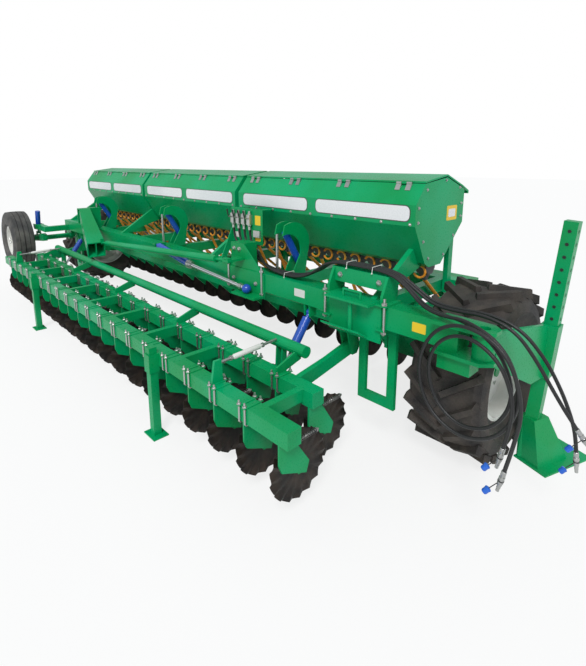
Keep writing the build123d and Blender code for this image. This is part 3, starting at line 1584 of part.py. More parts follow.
socket_hollow = tapered_box(shrunk(socket_sections, socket_wall))
socket_web = tapered_box(web_sections(socket_sections, socket_wall))
with BuildPart() as socket_arm:
    add(tapered_box(socket_sections))
    add(socket_hollow, mode=Mode.SUBTRACT)
    add(socket_web)
    block((socket_root_x - 12, socket_root_x), (-760, -620), (1180, 1390))
    for x in (socket_root_x - 90, socket_root_x - 14):
        block((x, x + 14), (-760, beam_back_y - 30), (beam_top_z + 60, 1390))
        block((x, x + 14), (beam_front_y, beam_back_y - 30), (beam_top_z, beam_top_z + 60))
    block((socket_root_x - 90, socket_root_x), (-760, beam_back_y - 30), (1376, 1390))
    block(
        (socket_open_x - 30, socket_open_x),
        (stay_y - 20, stay_y + 20),
        (socket_sections[1][1][1] + 60, socket_sections[1][1][1] + 130),
    )
socket_arm.part.label = "socket_arm"
export_step(socket_arm.part, "parts/socket_arm.step")

# ---------------------------------------------------------------- hydraulic hoses
# Each route runs from a valve's foot to the face of its coupler.
hose_routes = {
    "hose_loop_front": [
        (1440, -382, 1455), (1440, -382, 1284), (1640, -432, 1230), (1790, -530, 1186),
        (1930, -550, 1150), (2080, -552, 1140), (2250, -552, 1146), (2400, -552, 1215),
        (2540, -552, 1322), (2790, -552, 1331), (3060, -552, 1328), (3190, -560, 1256),
        (3310, -592, 1178), (3460, -648, 1172), (3640, -722, 1215), (3850, -745, 1130),
        (3945, -747, 890), (3855, -745, 650), (3650, -745, 560), (3455, -746, 660),
        (3380, -748, 890), (3460, -760, 1120), (3650, -794, 1225), (3870, -803, 1145),
        (3965, -801, 910), (3945, -799, 700), (3905, -797, 500),
    ],
    "hose_loop_rear": [
        (1360, -382, 1455), (1360, -382, 1290), (1530, -403, 1237), (1665, -430, 1198),
        (1800, -510, 1164), (1940, -526, 1144), (2090, -528, 1140), (2250, -528, 1146),
        (2400, -528, 1214), (2540, -528, 1322), (2790, -528, 1332), (3060, -528, 1328),
        (3190, -534, 1254), (3310, -562, 1176), (3450, -612, 1168), (3620, -685, 1190),
        (3810, -712, 1100), (3900, -714, 885), (3820, -713, 680), (3650, -713, 604),
        (3490, -714, 690), (3425, -718, 885), (3490, -742, 1070), (3650, -768, 1160),
        (3830, -776, 1080), (3912, -773, 900), (3908, -772, 745), (3880, -769, 600),
    ],
    "hose_drop_front": [
        (1280, -382, 1455), (1280, -382, 1290), (1445, -389, 1232), (1590, -398, 1178),
        (1720, -452, 1158), (1860, -496, 1142), (2030, -504, 1140), (2220, -504, 1144),
        (2400, -504, 1214), (2540, -504, 1322), (2790, -504, 1332), (3060, -504, 1328),
        (3190, -504, 1254), (3320, -503, 1176), (3470, -502, 1168), (3640, -504, 1186),
        (3800, -500, 1140), (3905, -470, 1000), (3985, -430, 850), (4060, -395, 720),
        (4120, -370, 630),
    ],
    "hose_drop_rear": [
        (1200, -382, 1455), (1200, -382, 1290), (1365, -385, 1230), (1490, -387, 1180),
        (1630, -392, 1142), (1830, -464, 1139), (1990, -480, 1140), (2190, -480, 1142),
        (2400, -480, 1214), (2540, -480, 1322), (2790, -480, 1332), (3060, -480, 1328),
        (3190, -477, 1254), (3320, -466, 1176), (3470, -456, 1168), (3640, -455, 1184),
        (3810, -448, 1140), (3930, -415, 1000), (4005, -365, 840), (4058, -325, 690),
        (4088, -300, 570), (4100, -290, 450),
    ],
}


def corner_radii(points):
    """Bend radii that leave a straight stretch between neighbouring corners."""
    radii = []
    for before, here, after in zip(points, points[1:], points[2:]):
        first = Vector(*here) - Vector(*before)
        second = Vector(*after) - Vector(*here)
        half_turn = radians(first.get_angle(second) / 2)
        radii.append(0.45 * min(first.length, second.length) / tan(half_turn))
    return radii


for name, route in hose_routes.items():
    bends = corner_radii(route)
    print(name, "tightest bend", round(min(bends)), "mm")
    last_run = Vector(*route[-1]) - Vector(*route[-2])
    coupler_end = Vector(*route[-1]) + last_run.normalized() * coupler_length
    with BuildPart() as hose:
        with BuildLine() as hose_line:
            FilletPolyline(*route, radius=bends)
        with BuildSketch(Plane(origin=route[0], z_dir=hose_line.line % 0)):
            Circle(hose_radius)
        sweep()
        add(rod_between(route[-1], tuple(coupler_end), coupler_radius, 12))
    hose.part.label = name
    export_step(hose.part, f"parts/{name}.step")
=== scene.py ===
"""Dressed model of a wide trailed seed drill with a wavy-disc coulter gang.

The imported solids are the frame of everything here. Each sub-assembly is a class
that holds its sizes in metres and builds its own pieces on top of that frame.
"""
from __future__ import annotations

import json
import logging
import math
from dataclasses import dataclass, field
from enum import Enum
from typing import Sequence

import bmesh
import bpy
from mathutils import Matrix, Vector

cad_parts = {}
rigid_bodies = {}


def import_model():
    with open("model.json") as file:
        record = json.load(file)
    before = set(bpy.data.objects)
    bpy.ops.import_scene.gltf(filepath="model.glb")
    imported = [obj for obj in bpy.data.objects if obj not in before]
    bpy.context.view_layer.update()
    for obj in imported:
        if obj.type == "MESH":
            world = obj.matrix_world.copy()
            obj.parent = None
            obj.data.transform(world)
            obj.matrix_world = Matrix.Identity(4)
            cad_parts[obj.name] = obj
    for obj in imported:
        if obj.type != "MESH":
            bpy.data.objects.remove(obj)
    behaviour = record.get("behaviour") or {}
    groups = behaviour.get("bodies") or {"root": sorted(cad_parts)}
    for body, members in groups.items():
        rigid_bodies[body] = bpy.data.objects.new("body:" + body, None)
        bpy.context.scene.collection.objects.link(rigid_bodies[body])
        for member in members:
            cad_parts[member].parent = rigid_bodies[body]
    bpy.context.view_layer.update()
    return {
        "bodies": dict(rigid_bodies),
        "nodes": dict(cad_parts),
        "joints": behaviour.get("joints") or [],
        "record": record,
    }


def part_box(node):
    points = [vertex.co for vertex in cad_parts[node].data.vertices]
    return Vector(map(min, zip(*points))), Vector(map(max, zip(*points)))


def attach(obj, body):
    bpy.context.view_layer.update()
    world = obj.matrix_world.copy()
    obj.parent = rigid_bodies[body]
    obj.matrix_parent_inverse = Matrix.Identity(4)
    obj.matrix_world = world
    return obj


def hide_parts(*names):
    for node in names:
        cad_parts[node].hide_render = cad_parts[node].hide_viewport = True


log = logging.getLogger("seed_drill")

Point = tuple[float, float, float]
Colour = tuple[float, float, float]
Pair = tuple[float, float]
Outline = Sequence[Pair]
Socket = bpy.types.NodeSocket

ORIGIN = (0.0, 0.0, 0.0)
LEFT, RIGHT = Vector((-1, 0, 0)), Vector((1, 0, 0))
FRONT, BACK = Vector((0, -1, 0)), Vector((0, 1, 0))
DOWN, UP = Vector((0, 0, -1)), Vector((0, 0, 1))

ROWS_PER_BANK = 20
BANK_PITCH = 0.3
SHARP_ANGLE = math.radians(35.0)
WELD_DISTANCE = 1e-6
BOLT_HEAD = ((0.0, 0.012), (0.002, 0.012), (0.003, 0.0085), (0.007, 0.0085), (0.009, 0.006))


class Body(str, Enum):
    """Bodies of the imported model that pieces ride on."""

    FRAME = "frame"
    GANG = "coulter_gang"
    FIELD_LEFT = "field_wheel_left"
    FIELD_RIGHT = "field_wheel_right"
    TOW_FRONT = "transport_wheel_front"
    TOW_REAR = "transport_wheel_rear"
    LID_LEFT = "lid_left"
    LID_MIDDLE = "lid_middle"
    LID_RIGHT = "lid_right"
    TOWER_LEG = "tower_leg"


class Bank(str, Enum):
    """Banks of coulters or openers, one behind the other."""

    FRONT = "front"
    REAR = "rear"


class Hopper(str, Enum):
    """Hoppers from left to right."""

    LEFT = "left"
    MIDDLE = "middle"
    RIGHT = "right"


def row(first: float, pitch: float) -> list[float]:
    """Return the places across the machine of one bank's tools."""
    return [first + pitch * k for k in range(ROWS_PER_BANK)]


BANK_XS = {Bank.FRONT: row(2.99, -BANK_PITCH), Bank.REAR: row(2.84, -BANK_PITCH)}
GANG_YS = {Bank.FRONT: -1.42, Bank.REAR: -1.04}
OPENER_XS = {Bank.FRONT: row(-2.925, BANK_PITCH), Bank.REAR: row(-2.775, BANK_PITCH)}
OPENER_YS = {Bank.FRONT: 0.1, Bank.REAR: 0.55}
HOPPER_XS = {Hopper.LEFT: -2.02, Hopper.MIDDLE: 0.0, Hopper.RIGHT: 2.02}
FIELD_CENTRES = {Body.FIELD_LEFT: (-3.385, 0.11, 0.6), Body.FIELD_RIGHT: (3.385, 0.11, 0.6)}
TOW_CENTRES = {Body.TOW_FRONT: (-3.58, -1.15, 0.79), Body.TOW_REAR: (-3.58, 1.25, 0.79)}


@dataclass
class NodeBench:
    """A material's node tree, with the steps that every finish shares."""

    tree: bpy.types.NodeTree
    colour_inputs: tuple[int, int] = (6, 7)
    colour_output: int = 2

    def noise(self, place: Socket, scale: float, detail: float) -> Socket:
        """Add a noise texture.

        Args:
            place: Socket with the place.
            scale: Features to the metre.
            detail: Octaves.

        Returns:
            The factor's socket.
        """
        noise = self.tree.nodes.new("ShaderNodeTexNoise")
        noise.inputs["Scale"].default_value = scale
        noise.inputs["Detail"].default_value = detail
        self.tree.links.new(place, noise.inputs["Vector"])
        return noise.outputs[0]

    def span(self, value: Socket, given: Pair, wanted: Pair) -> Socket:
        """Map a value from one range to another.

        Args:
            value: Socket to map.
            given: Ends of the incoming range.
            wanted: Results at those ends.

        Returns:
            The result's socket.
        """
        span = self.tree.nodes.new("ShaderNodeMapRange")
        labels = ("From Min", "From Max", "To Min", "To Max")
        for label, amount in zip(labels, (*given, *wanted)):
            span.inputs[label].default_value = amount
        self.tree.links.new(value, span.inputs["Value"])
        return span.outputs["Result"]

    def mix(self, share: Socket, first: Socket | Colour, second: Socket | Colour) -> Socket:
        """Mix two colours, each a socket or three numbers.

        Args:
            share: Socket of the share of the second colour.
            first: First colour.
            second: Second colour.

        Returns:
            The mixed colour's socket.
        """
        mix = self.tree.nodes.new("ShaderNodeMix")
        mix.data_type = "RGBA"
        self.tree.links.new(share, mix.inputs[0])
        for place, colour in zip(self.colour_inputs, (first, second)):
            if isinstance(colour, tuple):
                mix.inputs[place].default_value = (*colour, 1.0)
            else:
                self.tree.links.new(colour, mix.inputs[place])
        return mix.outputs[self.colour_output]


@dataclass(frozen=True)
class Finish:
    """A painted, moulded or bare surface with its own variation, grain and dust."""

    name: str
    base: Colour
    shade: Colour
    dust: Colour = (0.30, 0.25, 0.18)
    dust_share: float = 0.0
    dust_height: float = 0.9
    dust_aloft: float = 0.25
    dust_scale: float = 7.0
    dust_detail: float = 6.0
    dust_range: Pair = (0.42, 0.72)
    patch_scale: float = 1.6
    patch_detail: float = 4.0
    patch_range: Pair = (0.38, 0.64)
    grain_scale: float = 90.0
    grain_detail: float = 2.0
    grain_range: Pair = (0.3, 0.7)
    rough_low: float = 0.28
    rough_high: float = 0.42
    metallic: float = 0.0
    bump: float = 0.06
    bump_depth: float = 0.004
    coat: float = 0.0
    coat_rough: float = 0.12
    specular: float = 0.5

    def material(self) -> bpy.types.Material:
        """Build the node material.

        Returns:
            The finished material.
        """
        made = bpy.data.materials.new(self.name)
        made.use_nodes = True
        bench = NodeBench(made.node_tree)
        nodes, links = made.node_tree.nodes, made.node_tree.links
        shader = nodes["Principled BSDF"]
        for label, amount in (("Metallic", self.metallic), ("Specular IOR Level", self.specular),
                              ("Coat Weight", self.coat), ("Coat Roughness", self.coat_rough)):
            shader.inputs[label].default_value = amount
        place = nodes.new("ShaderNodeTexCoord").outputs["Object"]
        patches = bench.noise(place, self.patch_scale, self.patch_detail)
        grain = bench.noise(place, self.grain_scale, self.grain_detail)
        tone = bench.span(patches, self.patch_range, (0.0, 1.0))
        colour = bench.mix(tone, self.base, self.shade)
        if self.dust_share > 0.0:
            split = nodes.new("ShaderNodeSeparateXYZ")
            links.new(place, split.inputs["Vector"])
            low = bench.span(split.outputs["Z"], (0.0, self.dust_height), (1.0, self.dust_aloft))
            cloud = bench.noise(place, self.dust_scale, self.dust_detail)
            spots = bench.span(cloud, self.dust_range, (0.0, self.dust_share))
            both = nodes.new("ShaderNodeMath")
            both.operation = "MULTIPLY"
            links.new(low, both.inputs[0])
            links.new(spots, both.inputs[1])
            colour = bench.mix(both.outputs[0], colour, self.dust)
        links.new(colour, shader.inputs["Base Color"])
        rough = bench.span(grain, self.grain_range, (self.rough_low, self.rough_high))
        links.new(rough, shader.inputs["Roughness"])
        relief = nodes.new("ShaderNodeBump")
        relief.inputs["Strength"].default_value = self.bump
        relief.inputs["Distance"].default_value = self.bump_depth
        links.new(grain, relief.inputs["Height"])
        links.new(relief.outputs["Normal"], shader.inputs["Normal"])
        return made


GREEN = Finish("green_gloss", (0.0, 0.285, 0.078), (0.0, 0.360, 0.135), dust_share=0.04,
               rough_low=0.24, rough_high=0.38, coat=0.03, bump=0.04, specular=0.20)
BLUE = Finish("blue_gloss", (0.008, 0.065, 0.42), (0.012, 0.10, 0.52), rough_low=0.18,
              rough_high=0.3, coat=0.4)
WHITE = Finish("white_satin", (0.78, 0.78, 0.75), (0.70, 0.70, 0.66), dust_share=0.35,
               rough_low=0.35, rough_high=0.5)
ZINC = Finish("zinc_plate", (0.56, 0.56, 0.54), (0.42, 0.42, 0.41), metallic=0.9,
              rough_low=0.24, rough_high=0.42, grain_scale=240.0, bump=0.05)
CHROME = Finish("chrome_rod", (0.78, 0.78, 0.80), (0.70, 0.71, 0.74), metallic=1.0,
                rough_low=0.08, rough_high=0.16, grain_scale=300.0, bump=0.01)
DISC_STEEL = Finish("dark_disc_steel", (0.020, 0.017, 0.016), (0.050, 0.036, 0.028), metallic=0.55,
                    rough_low=0.35, rough_high=0.6, patch_scale=9.0, grain_scale=160.0, bump=0.2)
SPRING_STEEL = Finish("spring_steel", (0.10, 0.10, 0.10), (0.22, 0.21, 0.20), metallic=0.8,
                      rough_low=0.28, rough_high=0.45, patch_scale=12.0, bump=0.05)
GREY_PLASTIC = Finish("grey_moulding", (0.075, 0.078, 0.08), (0.11, 0.11, 0.11), rough_low=0.5,
                      rough_high=0.65, grain_scale=260.0, bump=0.12)
BLACK_PLASTIC = Finish("black_moulding", (0.012, 0.012, 0.013), (0.022, 0.022, 0.022),
                       rough_low=0.4, rough_high=0.55, grain_scale=280.0, bump=0.1)
BLUE_PLASTIC = Finish("blue_cap", (0.012, 0.10, 0.55), (0.02, 0.14, 0.62), rough_low=0.3,
                      rough_high=0.42)
ORANGE_TUBE = Finish("orange_tube", (0.80, 0.27, 0.015), (0.90, 0.40, 0.04), rough_low=0.3,
                     rough_high=0.45, patch_scale=5.0)
YELLOW = Finish("yellow_plate", (0.85, 0.58, 0.02), (0.80, 0.52, 0.02), rough_low=0.35,
                rough_high=0.5)
LABEL = Finish("silver_white_plate", (0.80, 0.81, 0.82), (0.66, 0.68, 0.70), patch_scale=0.8,
               rough_low=0.22, rough_high=0.32, coat=0.3)
EDGE = Finish("dark_plate_edge", (0.05, 0.055, 0.05), (0.08, 0.085, 0.08), rough_low=0.35,
              rough_high=0.5)
FIELD_RUBBER = Finish("lug_tyre_rubber", (0.020, 0.018, 0.018), (0.042, 0.036, 0.032),
                      dust=(0.17, 0.13, 0.10), dust_share=0.42, dust_height=2.2, patch_scale=5.0,
                      rough_low=0.6, rough_high=0.85, grain_scale=120.0, bump=0.35)
ROAD_RUBBER = Finish("road_tyre_rubber", (0.045, 0.045, 0.045), (0.085, 0.083, 0.08),
                     dust=(0.22, 0.20, 0.17), dust_share=0.6, dust_height=2.0, patch_scale=6.0,
                     rough_low=0.68, rough_high=0.88, grain_scale=140.0, bump=0.3)
PRESS_RUBBER = Finish("press_wheel_rubber", (0.030, 0.030, 0.030), (0.05, 0.05, 0.05),
                      dust_share=0.4, rough_low=0.65, rough_high=0.85, bump=0.2)
HOSE_RUBBER = Finish("hose_cover", (0.010, 0.010, 0.011), (0.02, 0.02, 0.02), rough_low=0.34,
                     rough_high=0.5, grain_scale=420.0, bump=0.25)
TREAD_PLATE = Finish("green_tread_plate", (0.0, 0.27, 0.08), (0.02, 0.33, 0.12), dust_share=0.5,
                     dust_height=2.0, rough_low=0.35, rough_high=0.55, grain_scale=34.0, bump=0.8)

SLOT_FINISHES = {
    "green_paint": GREEN,
    "blue_paint": BLUE,
    "white_paint": WHITE,
    "bare_steel": ZINC,
    "worn_steel": DISC_STEEL,
    "grey_plastic": GREY_PLASTIC,
    "orange_plastic": ORANGE_TUBE,
    "field_rubber": FIELD_RUBBER,
    "road_rubber": ROAD_RUBBER,
    "press_rubber": PRESS_RUBBER,
    "hose_rubber": HOSE_RUBBER,
}


@dataclass
class Paintbox:
    """Makes each finish's material once."""

    made: dict[str, bpy.types.Material] = field(default_factory=dict)

    def get(self, finish: Finish) -> bpy.types.Material:
        """Look a finish up, and make its material on first use.

        Args:
            finish: The finish.

        Returns:
            Its material.
        """
        if finish.name not in self.made:
            self.made[finish.name] = finish.material()
        return self.made[finish.name]

    def dress_frame(self, frame: dict) -> None:
        """Give every carried-over solid the material of its slot.
        """
        special = {"walkway": TREAD_PLATE, "tow_ram_rod": CHROME, "lift_ram_rods": CHROME}
        for part in frame["record"]["subparts"]:
            name = part["node"]
            finish = special.get(name, SLOT_FINISHES[part["material_slot"]])
            for place in frame["nodes"][name].material_slots:
                place.link = "OBJECT"
                place.material = self.get(finish)


def round_angles(count: int) -> list[float]:
    """Return equal steps round a full turn, in radians."""
    return [2 * math.pi * k / count for k in range(count)]


def skirt(rows: int, sides: int, ring: bool = False) -> list[list[int]]:
    """Number the faces between loops of points that follow one another.

    Args:
        rows: Count of the loops.
        sides: Points in each loop.
        ring: True joins the last loop to the first.

    Returns:
        Four corner numbers for each face.
    """
    faces = []
    for near in range(rows if ring else rows - 1):
        far = (near + 1) % rows
        for k in range(sides):
            right = (k + 1) % sides
            faces.append([near * sides + k, near * sides + right, far * sides + right,
                          far * sides + k])
    return faces


def ends(rows: int, sides: int) -> list[list[int]]:
    """Number the two faces that close the first and the last loop."""
    return [list(range(sides))[::-1], list(range((rows - 1) * sides, rows * sides))]


def rounded(width: float, height: float, corner: float, steps: int = 5) -> list[Pair]:
    """Outline of a rectangle with round corners.

    Args:
        width: Full width.
        height: Full height.
        corner: Radius of the corners.
        steps: Points on each corner.

    Returns:
        The outline, counter-clockwise.
    """
    outline = []
    for a, (cx, cy) in enumerate(((1, 1), (-1, 1), (-1, -1), (1, -1))):
        for k in range(steps):
            angle = math.pi / 2 * (a + k / (steps - 1))
            outline.append((cx * (width / 2 - corner) + corner * math.cos(angle),
                            cy * (height / 2 - corner) + corner * math.sin(angle)))
    return outline


def settle(mesh: bpy.types.Mesh, name: str, body: Body | None) -> bpy.types.Object:
    """Smooth a mesh, link it as an object and let it ride on its body.

    Args:
        mesh: The mesh.
        name: Name of the piece.
        body: Body it rides on, or None for a part that is only repeated.

    Returns:
        The linked object.
    """
    mesh.polygons.foreach_set("use_smooth", [True] * len(mesh.polygons))
    mesh.set_sharp_from_angle(angle=SHARP_ANGLE)
    made = bpy.data.objects.new(name, mesh)
    bpy.context.scene.collection.objects.link(made)
    if body is not None:
        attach(made, body.value)
        log.info("%s rides on %s with %d faces", name, body.value, len(mesh.polygons))
    return made


@dataclass
class Draft:
    """Collects closed shapes, each with its finish, and makes them one piece."""

    paints: Paintbox
    finish: Finish = GREEN
    points: list[Vector] = field(default_factory=list)
    faces: list[list[int]] = field(default_factory=list)
    marks: list[int] = field(default_factory=list)
    finishes: list[Finish] = field(default_factory=list)

    def use(self, finish: Finish) -> "Draft":
        """Choose the finish of the shapes that follow and return the draft."""
        self.finish = finish
        return self

    def take(self, points: Sequence[Vector], faces: Sequence[Sequence[int]]) -> None:
        """Add a shape.

        Args:
            points: Corners of the shape.
            faces: Corner numbers of each face.
        """
        if self.finish not in self.finishes:
            self.finishes.append(self.finish)
        mark = self.finishes.index(self.finish)
        base = len(self.points)
        self.points += [Vector(p) for p in points]
        self.faces += [[base + n for n in face] for face in faces]
        self.marks += [mark] * len(faces)

    def block(self, low: Point, high: Point, edge: float) -> None:
        """Add a block with softened edges.

        Args:
            low: Lowest corner.
            high: Highest corner.
            edge: Width of the softened edges.
        """
        shape = bmesh.new()
        size = Vector(high) - Vector(low)
        middle = (Vector(high) + Vector(low)) / 2
        at = Matrix.Translation(middle) @ Matrix.Diagonal((*size, 1.0))
        bmesh.ops.create_cube(shape, size=1.0, matrix=at)
        bmesh.ops.bevel(shape, geom=shape.edges[:], offset=edge, segments=2, profile=0.5,
                        affect="EDGES")
        shape.verts.index_update()
        self.take([v.co.copy() for v in shape.verts],
                  [[v.index for v in f.verts] for f in shape.faces])
        shape.free()

    def lathe(self, outline: Outline, centre: Point, axis: Vector, sides: int = 24,
              ring: bool = False) -> None:
        """Add a turned shape.

        Args:
            outline: Distance along the axis and radius of each point.
            centre: Where the distance along the axis is nought.
            axis: Direction of the axis.
            sides: Facets round the axis.
            ring: True joins the last point to the first, and False caps both ends.
        """
        turn = Vector(axis).normalized().to_track_quat("Z", "Y").to_matrix()
        points = []
        for along, radius in outline:
            for angle in round_angles(sides):
                flat = Vector((radius * math.cos(angle), radius * math.sin(angle), along))
                points.append(Vector(centre) + turn @ flat)
        count = len(outline)
        self.take(points, skirt(count, sides, ring) + ([] if ring else ends(count, sides)))

    def rod(self, start: Point, end: Point, radius: float, sides: int = 16,
            edge: float = 0.0) -> None:
        """Add a round bar, with a small chamfer at both ends where one is asked for.

        Args:
            start: Centre of one end.
            end: Centre of the other end.
            radius: Radius of the bar.
            sides: Facets round it.
            edge: Width of the chamfer.
        """
        run = Vector(end) - Vector(start)
        length = run.length
        outline = [(0.0, radius), (length, radius)]
        if edge > 0.0:
            outline = [(0.0, radius - edge), (edge, radius), (length - edge, radius),
                       (length, radius - edge)]
        self.lathe(outline, start, run, sides)

    def hex_nut(self, centre: Point, axis: Vector, radius: float, height: float) -> None:
        """Add a hexagon nut with a chamfered top.

        Args:
            centre: Middle of its foot.
            axis: Direction it stands in.
            radius: Half its width across the corners.
            height: Its height.
        """
        outline = [(0.0, radius), (height * 0.8, radius), (height, radius * 0.84)]
        self.lathe(outline, centre, axis, 6)

    def tube(self, path: Sequence[Point], radii: Sequence[float], sides: int = 8) -> None:
        """Add a round tube along a path.

        Args:
            path: Centreline points.
            radii: Radius at each point.
            sides: Facets round it.
        """
        line = [Vector(p) for p in path]
        last = len(line) - 1
        points: list[Vector] = []
        side = None
        for k, here in enumerate(line):
            ahead = line[min(k + 1, last)] - line[max(k - 1, 0)]
            ahead.normalize()
            if side is None:
                side = RIGHT if abs(ahead.x) < 0.8 else BACK
            side = (side - ahead * side.dot(ahead)).normalized()
            other = ahead.cross(side)
            points += [here + (side * math.cos(angle) + other * math.sin(angle)) * radii[k]
                       for angle in round_angles(sides)]
        self.take(points, skirt(len(line), sides) + ends(len(line), sides))

    def plate(self, outline: Outline, centre: Point, right: Vector, up: Vector,
              thickness: float) -> None:
        """Add a flat plate of a given outline.

        Args:
            outline: Points on the plate, measured right and up from its centre.
            centre: Centre of its near face.
            right: Direction of the first number.
            up: Direction of the second number.
            thickness: Thickness, towards right cross up.
        """
        across = Vector(right).cross(Vector(up)).normalized() * thickness
        near = [Vector(centre) + Vector(right) * a + Vector(up) * b for a, b in outline]
        count = len(near)
        self.take(near + [p + across for p in near], ends(2, count) + skirt(2, count))

    def piece(self, name: str, body: Body | None, slot: str | None) -> bpy.types.Object:
        """Make the object and let it ride.

        Args:
            name: Name of the piece.
            body: Body it rides on, or None for a part that is only repeated.
            slot: Material slot of the record, or None; not used.

        Returns:
            The finished object.
        """
        mesh = bpy.data.meshes.new(name)
        mesh.from_pydata([tuple(p) for p in self.points], [], self.faces)
        mesh.polygons.foreach_set("material_index", self.marks)
        shape = bmesh.new()
        shape.from_mesh(mesh)
        bmesh.ops.remove_doubles(shape, verts=shape.verts[:], dist=WELD_DISTANCE)
        bmesh.ops.recalc_face_normals(shape, faces=shape.faces[:])
        shape.to_mesh(mesh)
        shape.free()
        for finish in self.finishes:
            mesh.materials.append(self.paints.get(finish))
        return settle(mesh, name, body)


@dataclass
class PointTree:
    """Geometry Nodes that set one shape on every point of a mesh."""

    name: str
    inputs: dict[str, str]

    def start(self) -> tuple[bpy.types.GeometryNodeTree, bpy.types.Node, bpy.types.Node]:
        """Make the tree with its inputs, the copies and their finish.

        Returns:
            The tree, the node with its inputs and the node that sets the copies.
        """
        tree = bpy.data.node_groups.new(self.name, "GeometryNodeTree")
        for label, kind in self.inputs.items():
            tree.interface.new_socket(label, in_out="INPUT", socket_type=f"NodeSocket{kind}")
        tree.interface.new_socket("Geometry", in_out="OUTPUT", socket_type="NodeSocketGeometry")
        add, join = tree.nodes.new, tree.links.new
        given, result = add("NodeGroupInput"), add("NodeGroupOutput")
        copies, real = add("GeometryNodeInstanceOnPoints"), add("GeometryNodeRealizeInstances")
        dress = add("GeometryNodeSetMaterial")
        join(given.outputs["Places"], copies.inputs["Points"])
        join(copies.outputs["Instances"], real.inputs["Geometry"])
        join(real.outputs["Geometry"], dress.inputs["Geometry"])
        join(given.outputs["Finish"], dress.inputs["Material"])
        join(dress.outputs["Geometry"], result.inputs["Geometry"])
        return tree, given, copies


@dataclass
class RepeatTree(PointTree):
    """Geometry Nodes that set a drafted part on every point, turned at random."""

    name: str = "set_part_on_points"
    inputs: dict[str, str] = field(default_factory=lambda: {
        "Places": "Geometry", "Part": "Object", "Size": "Float", "Turn": "Vector",
        "Seed": "Int", "Finish": "Material"})

    def build(self) -> bpy.types.GeometryNodeTree:
        """Make the node tree.

        Returns:
            The tree.
        """
        tree, given, copies = self.start()
        add, join = tree.nodes.new, tree.links.new
        part, chance = add("GeometryNodeObjectInfo"), add("FunctionNodeRandomValue")
        chance.data_type = "FLOAT_VECTOR"
        chance.inputs[0].default_value = ORIGIN
        join(given.outputs["Part"], part.inputs["Object"])
        join(given.outputs["Turn"], chance.inputs[1])
        join(given.outputs["Seed"], chance.inputs["Seed"])
        join(part.outputs["Geometry"], copies.inputs["Instance"])
        join(chance.outputs[0], copies.inputs["Rotation"])
        join(given.outputs["Size"], copies.inputs["Scale"])
        return tree


@dataclass
class CoilTree(PointTree):
    """Geometry Nodes that wind a coil spring along +Y from every point of a mesh."""

    name: str = "wind_coil_springs"
    inputs: dict[str, str] = field(default_factory=lambda: {
        "Places": "Geometry", "Turns": "Float", "Radius": "Float", "Length": "Float",
        "Wire": "Float", "Finish": "Material"})
    steps_per_turn: int = 12
    wire_sides: int = 5

    def build(self) -> bpy.types.GeometryNodeTree:
        """Make the node tree.

        Returns:
            The tree.
        """
        tree, given, copies = self.start()
        add, join = tree.nodes.new, tree.links.new
        spiral, section = add("GeometryNodeCurveSpiral"), add("GeometryNodeCurvePrimitiveCircle")
        sweep, lay = add("GeometryNodeCurveToMesh"), add("GeometryNodeTransform")
        spiral.inputs["Resolution"].default_value = self.steps_per_turn
        section.inputs["Resolution"].default_value = self.wire_sides
        lay.inputs["Rotation"].default_value = (-math.pi / 2, 0.0, 0.0)
        sweep.inputs["Fill Caps"].default_value = True
        for label, target in (("Turns", "Rotations"), ("Radius", "Start Radius"),
                              ("Radius", "End Radius"), ("Length", "Height")):
            join(given.outputs[label], spiral.inputs[target])
        join(given.outputs["Wire"], section.inputs["Radius"])
        join(spiral.outputs["Curve"], sweep.inputs["Curve"])
        join(section.outputs["Curve"], sweep.inputs["Profile Curve"])
        join(sweep.outputs["Mesh"], lay.inputs["Geometry"])
        join(lay.outputs["Geometry"], copies.inputs["Instance"])
        return tree


@dataclass
class Repeater:
    """Runs the node trees and turns each result into a plain piece."""

    paints: Paintbox
    repeat: bpy.types.GeometryNodeTree
    coil: bpy.types.GeometryNodeTree

    def run(self, tree: bpy.types.GeometryNodeTree, name: str, places: Sequence[Point],
            values: dict[str, object], body: Body, slot: str) -> bpy.types.Object:
        """Evaluate a tree on a set of points.

        Args:
            tree: Node tree to run.
            name: Name of the piece.
            places: Points that the tree works on.
            values: Value of each named input.
            body: Body the piece rides on.
            slot: Material slot of the record; not used.

        Returns:
            The finished piece.
        """
        mesh = bpy.data.meshes.new(name + "_places")
        mesh.from_pydata([tuple(p) for p in places], [], [])
        host = bpy.data.objects.new(name + "_host", mesh)
        bpy.context.scene.collection.objects.link(host)
        change = host.modifiers.new("tree", "NODES")
        change.node_group = tree
        for socket in tree.interface.items_tree:
            if socket.in_out == "INPUT" and socket.name in values:
                change[socket.identifier] = values[socket.name]
        shown = host.evaluated_get(bpy.context.evaluated_depsgraph_get())
        result = bpy.data.meshes.new_from_object(shown)
        result.name = name
        host.modifiers.remove(change)
        bpy.data.objects.remove(host)
        return settle(result, name, body)

    def copies(self, name: str, part: Draft, places: Sequence[Point], body: Body, slot: str,
               turn: Point = ORIGIN, seed: int = 7) -> bpy.types.Object:
        """Set a drafted part on every place.

        Args:
            name: Name of the piece.
            part: Draft of one part about the origin, in one finish.
            places: Where the copies go.
            body: Body the piece rides on.
            slot: Material slot of the record.
            turn: Largest random turn about each axis.
            seed: Seed of the random turns.

        Returns:
            The finished piece.
        """
        one = part.piece(name + "_part", None, None)
        values = {"Part": one, "Size": 1.0, "Turn": turn, "Seed": seed,
                  "Finish": self.paints.get(part.finishes[0])}
        made = self.run(self.repeat, name, places, values, body, slot)
        bpy.data.objects.remove(one)
        return made


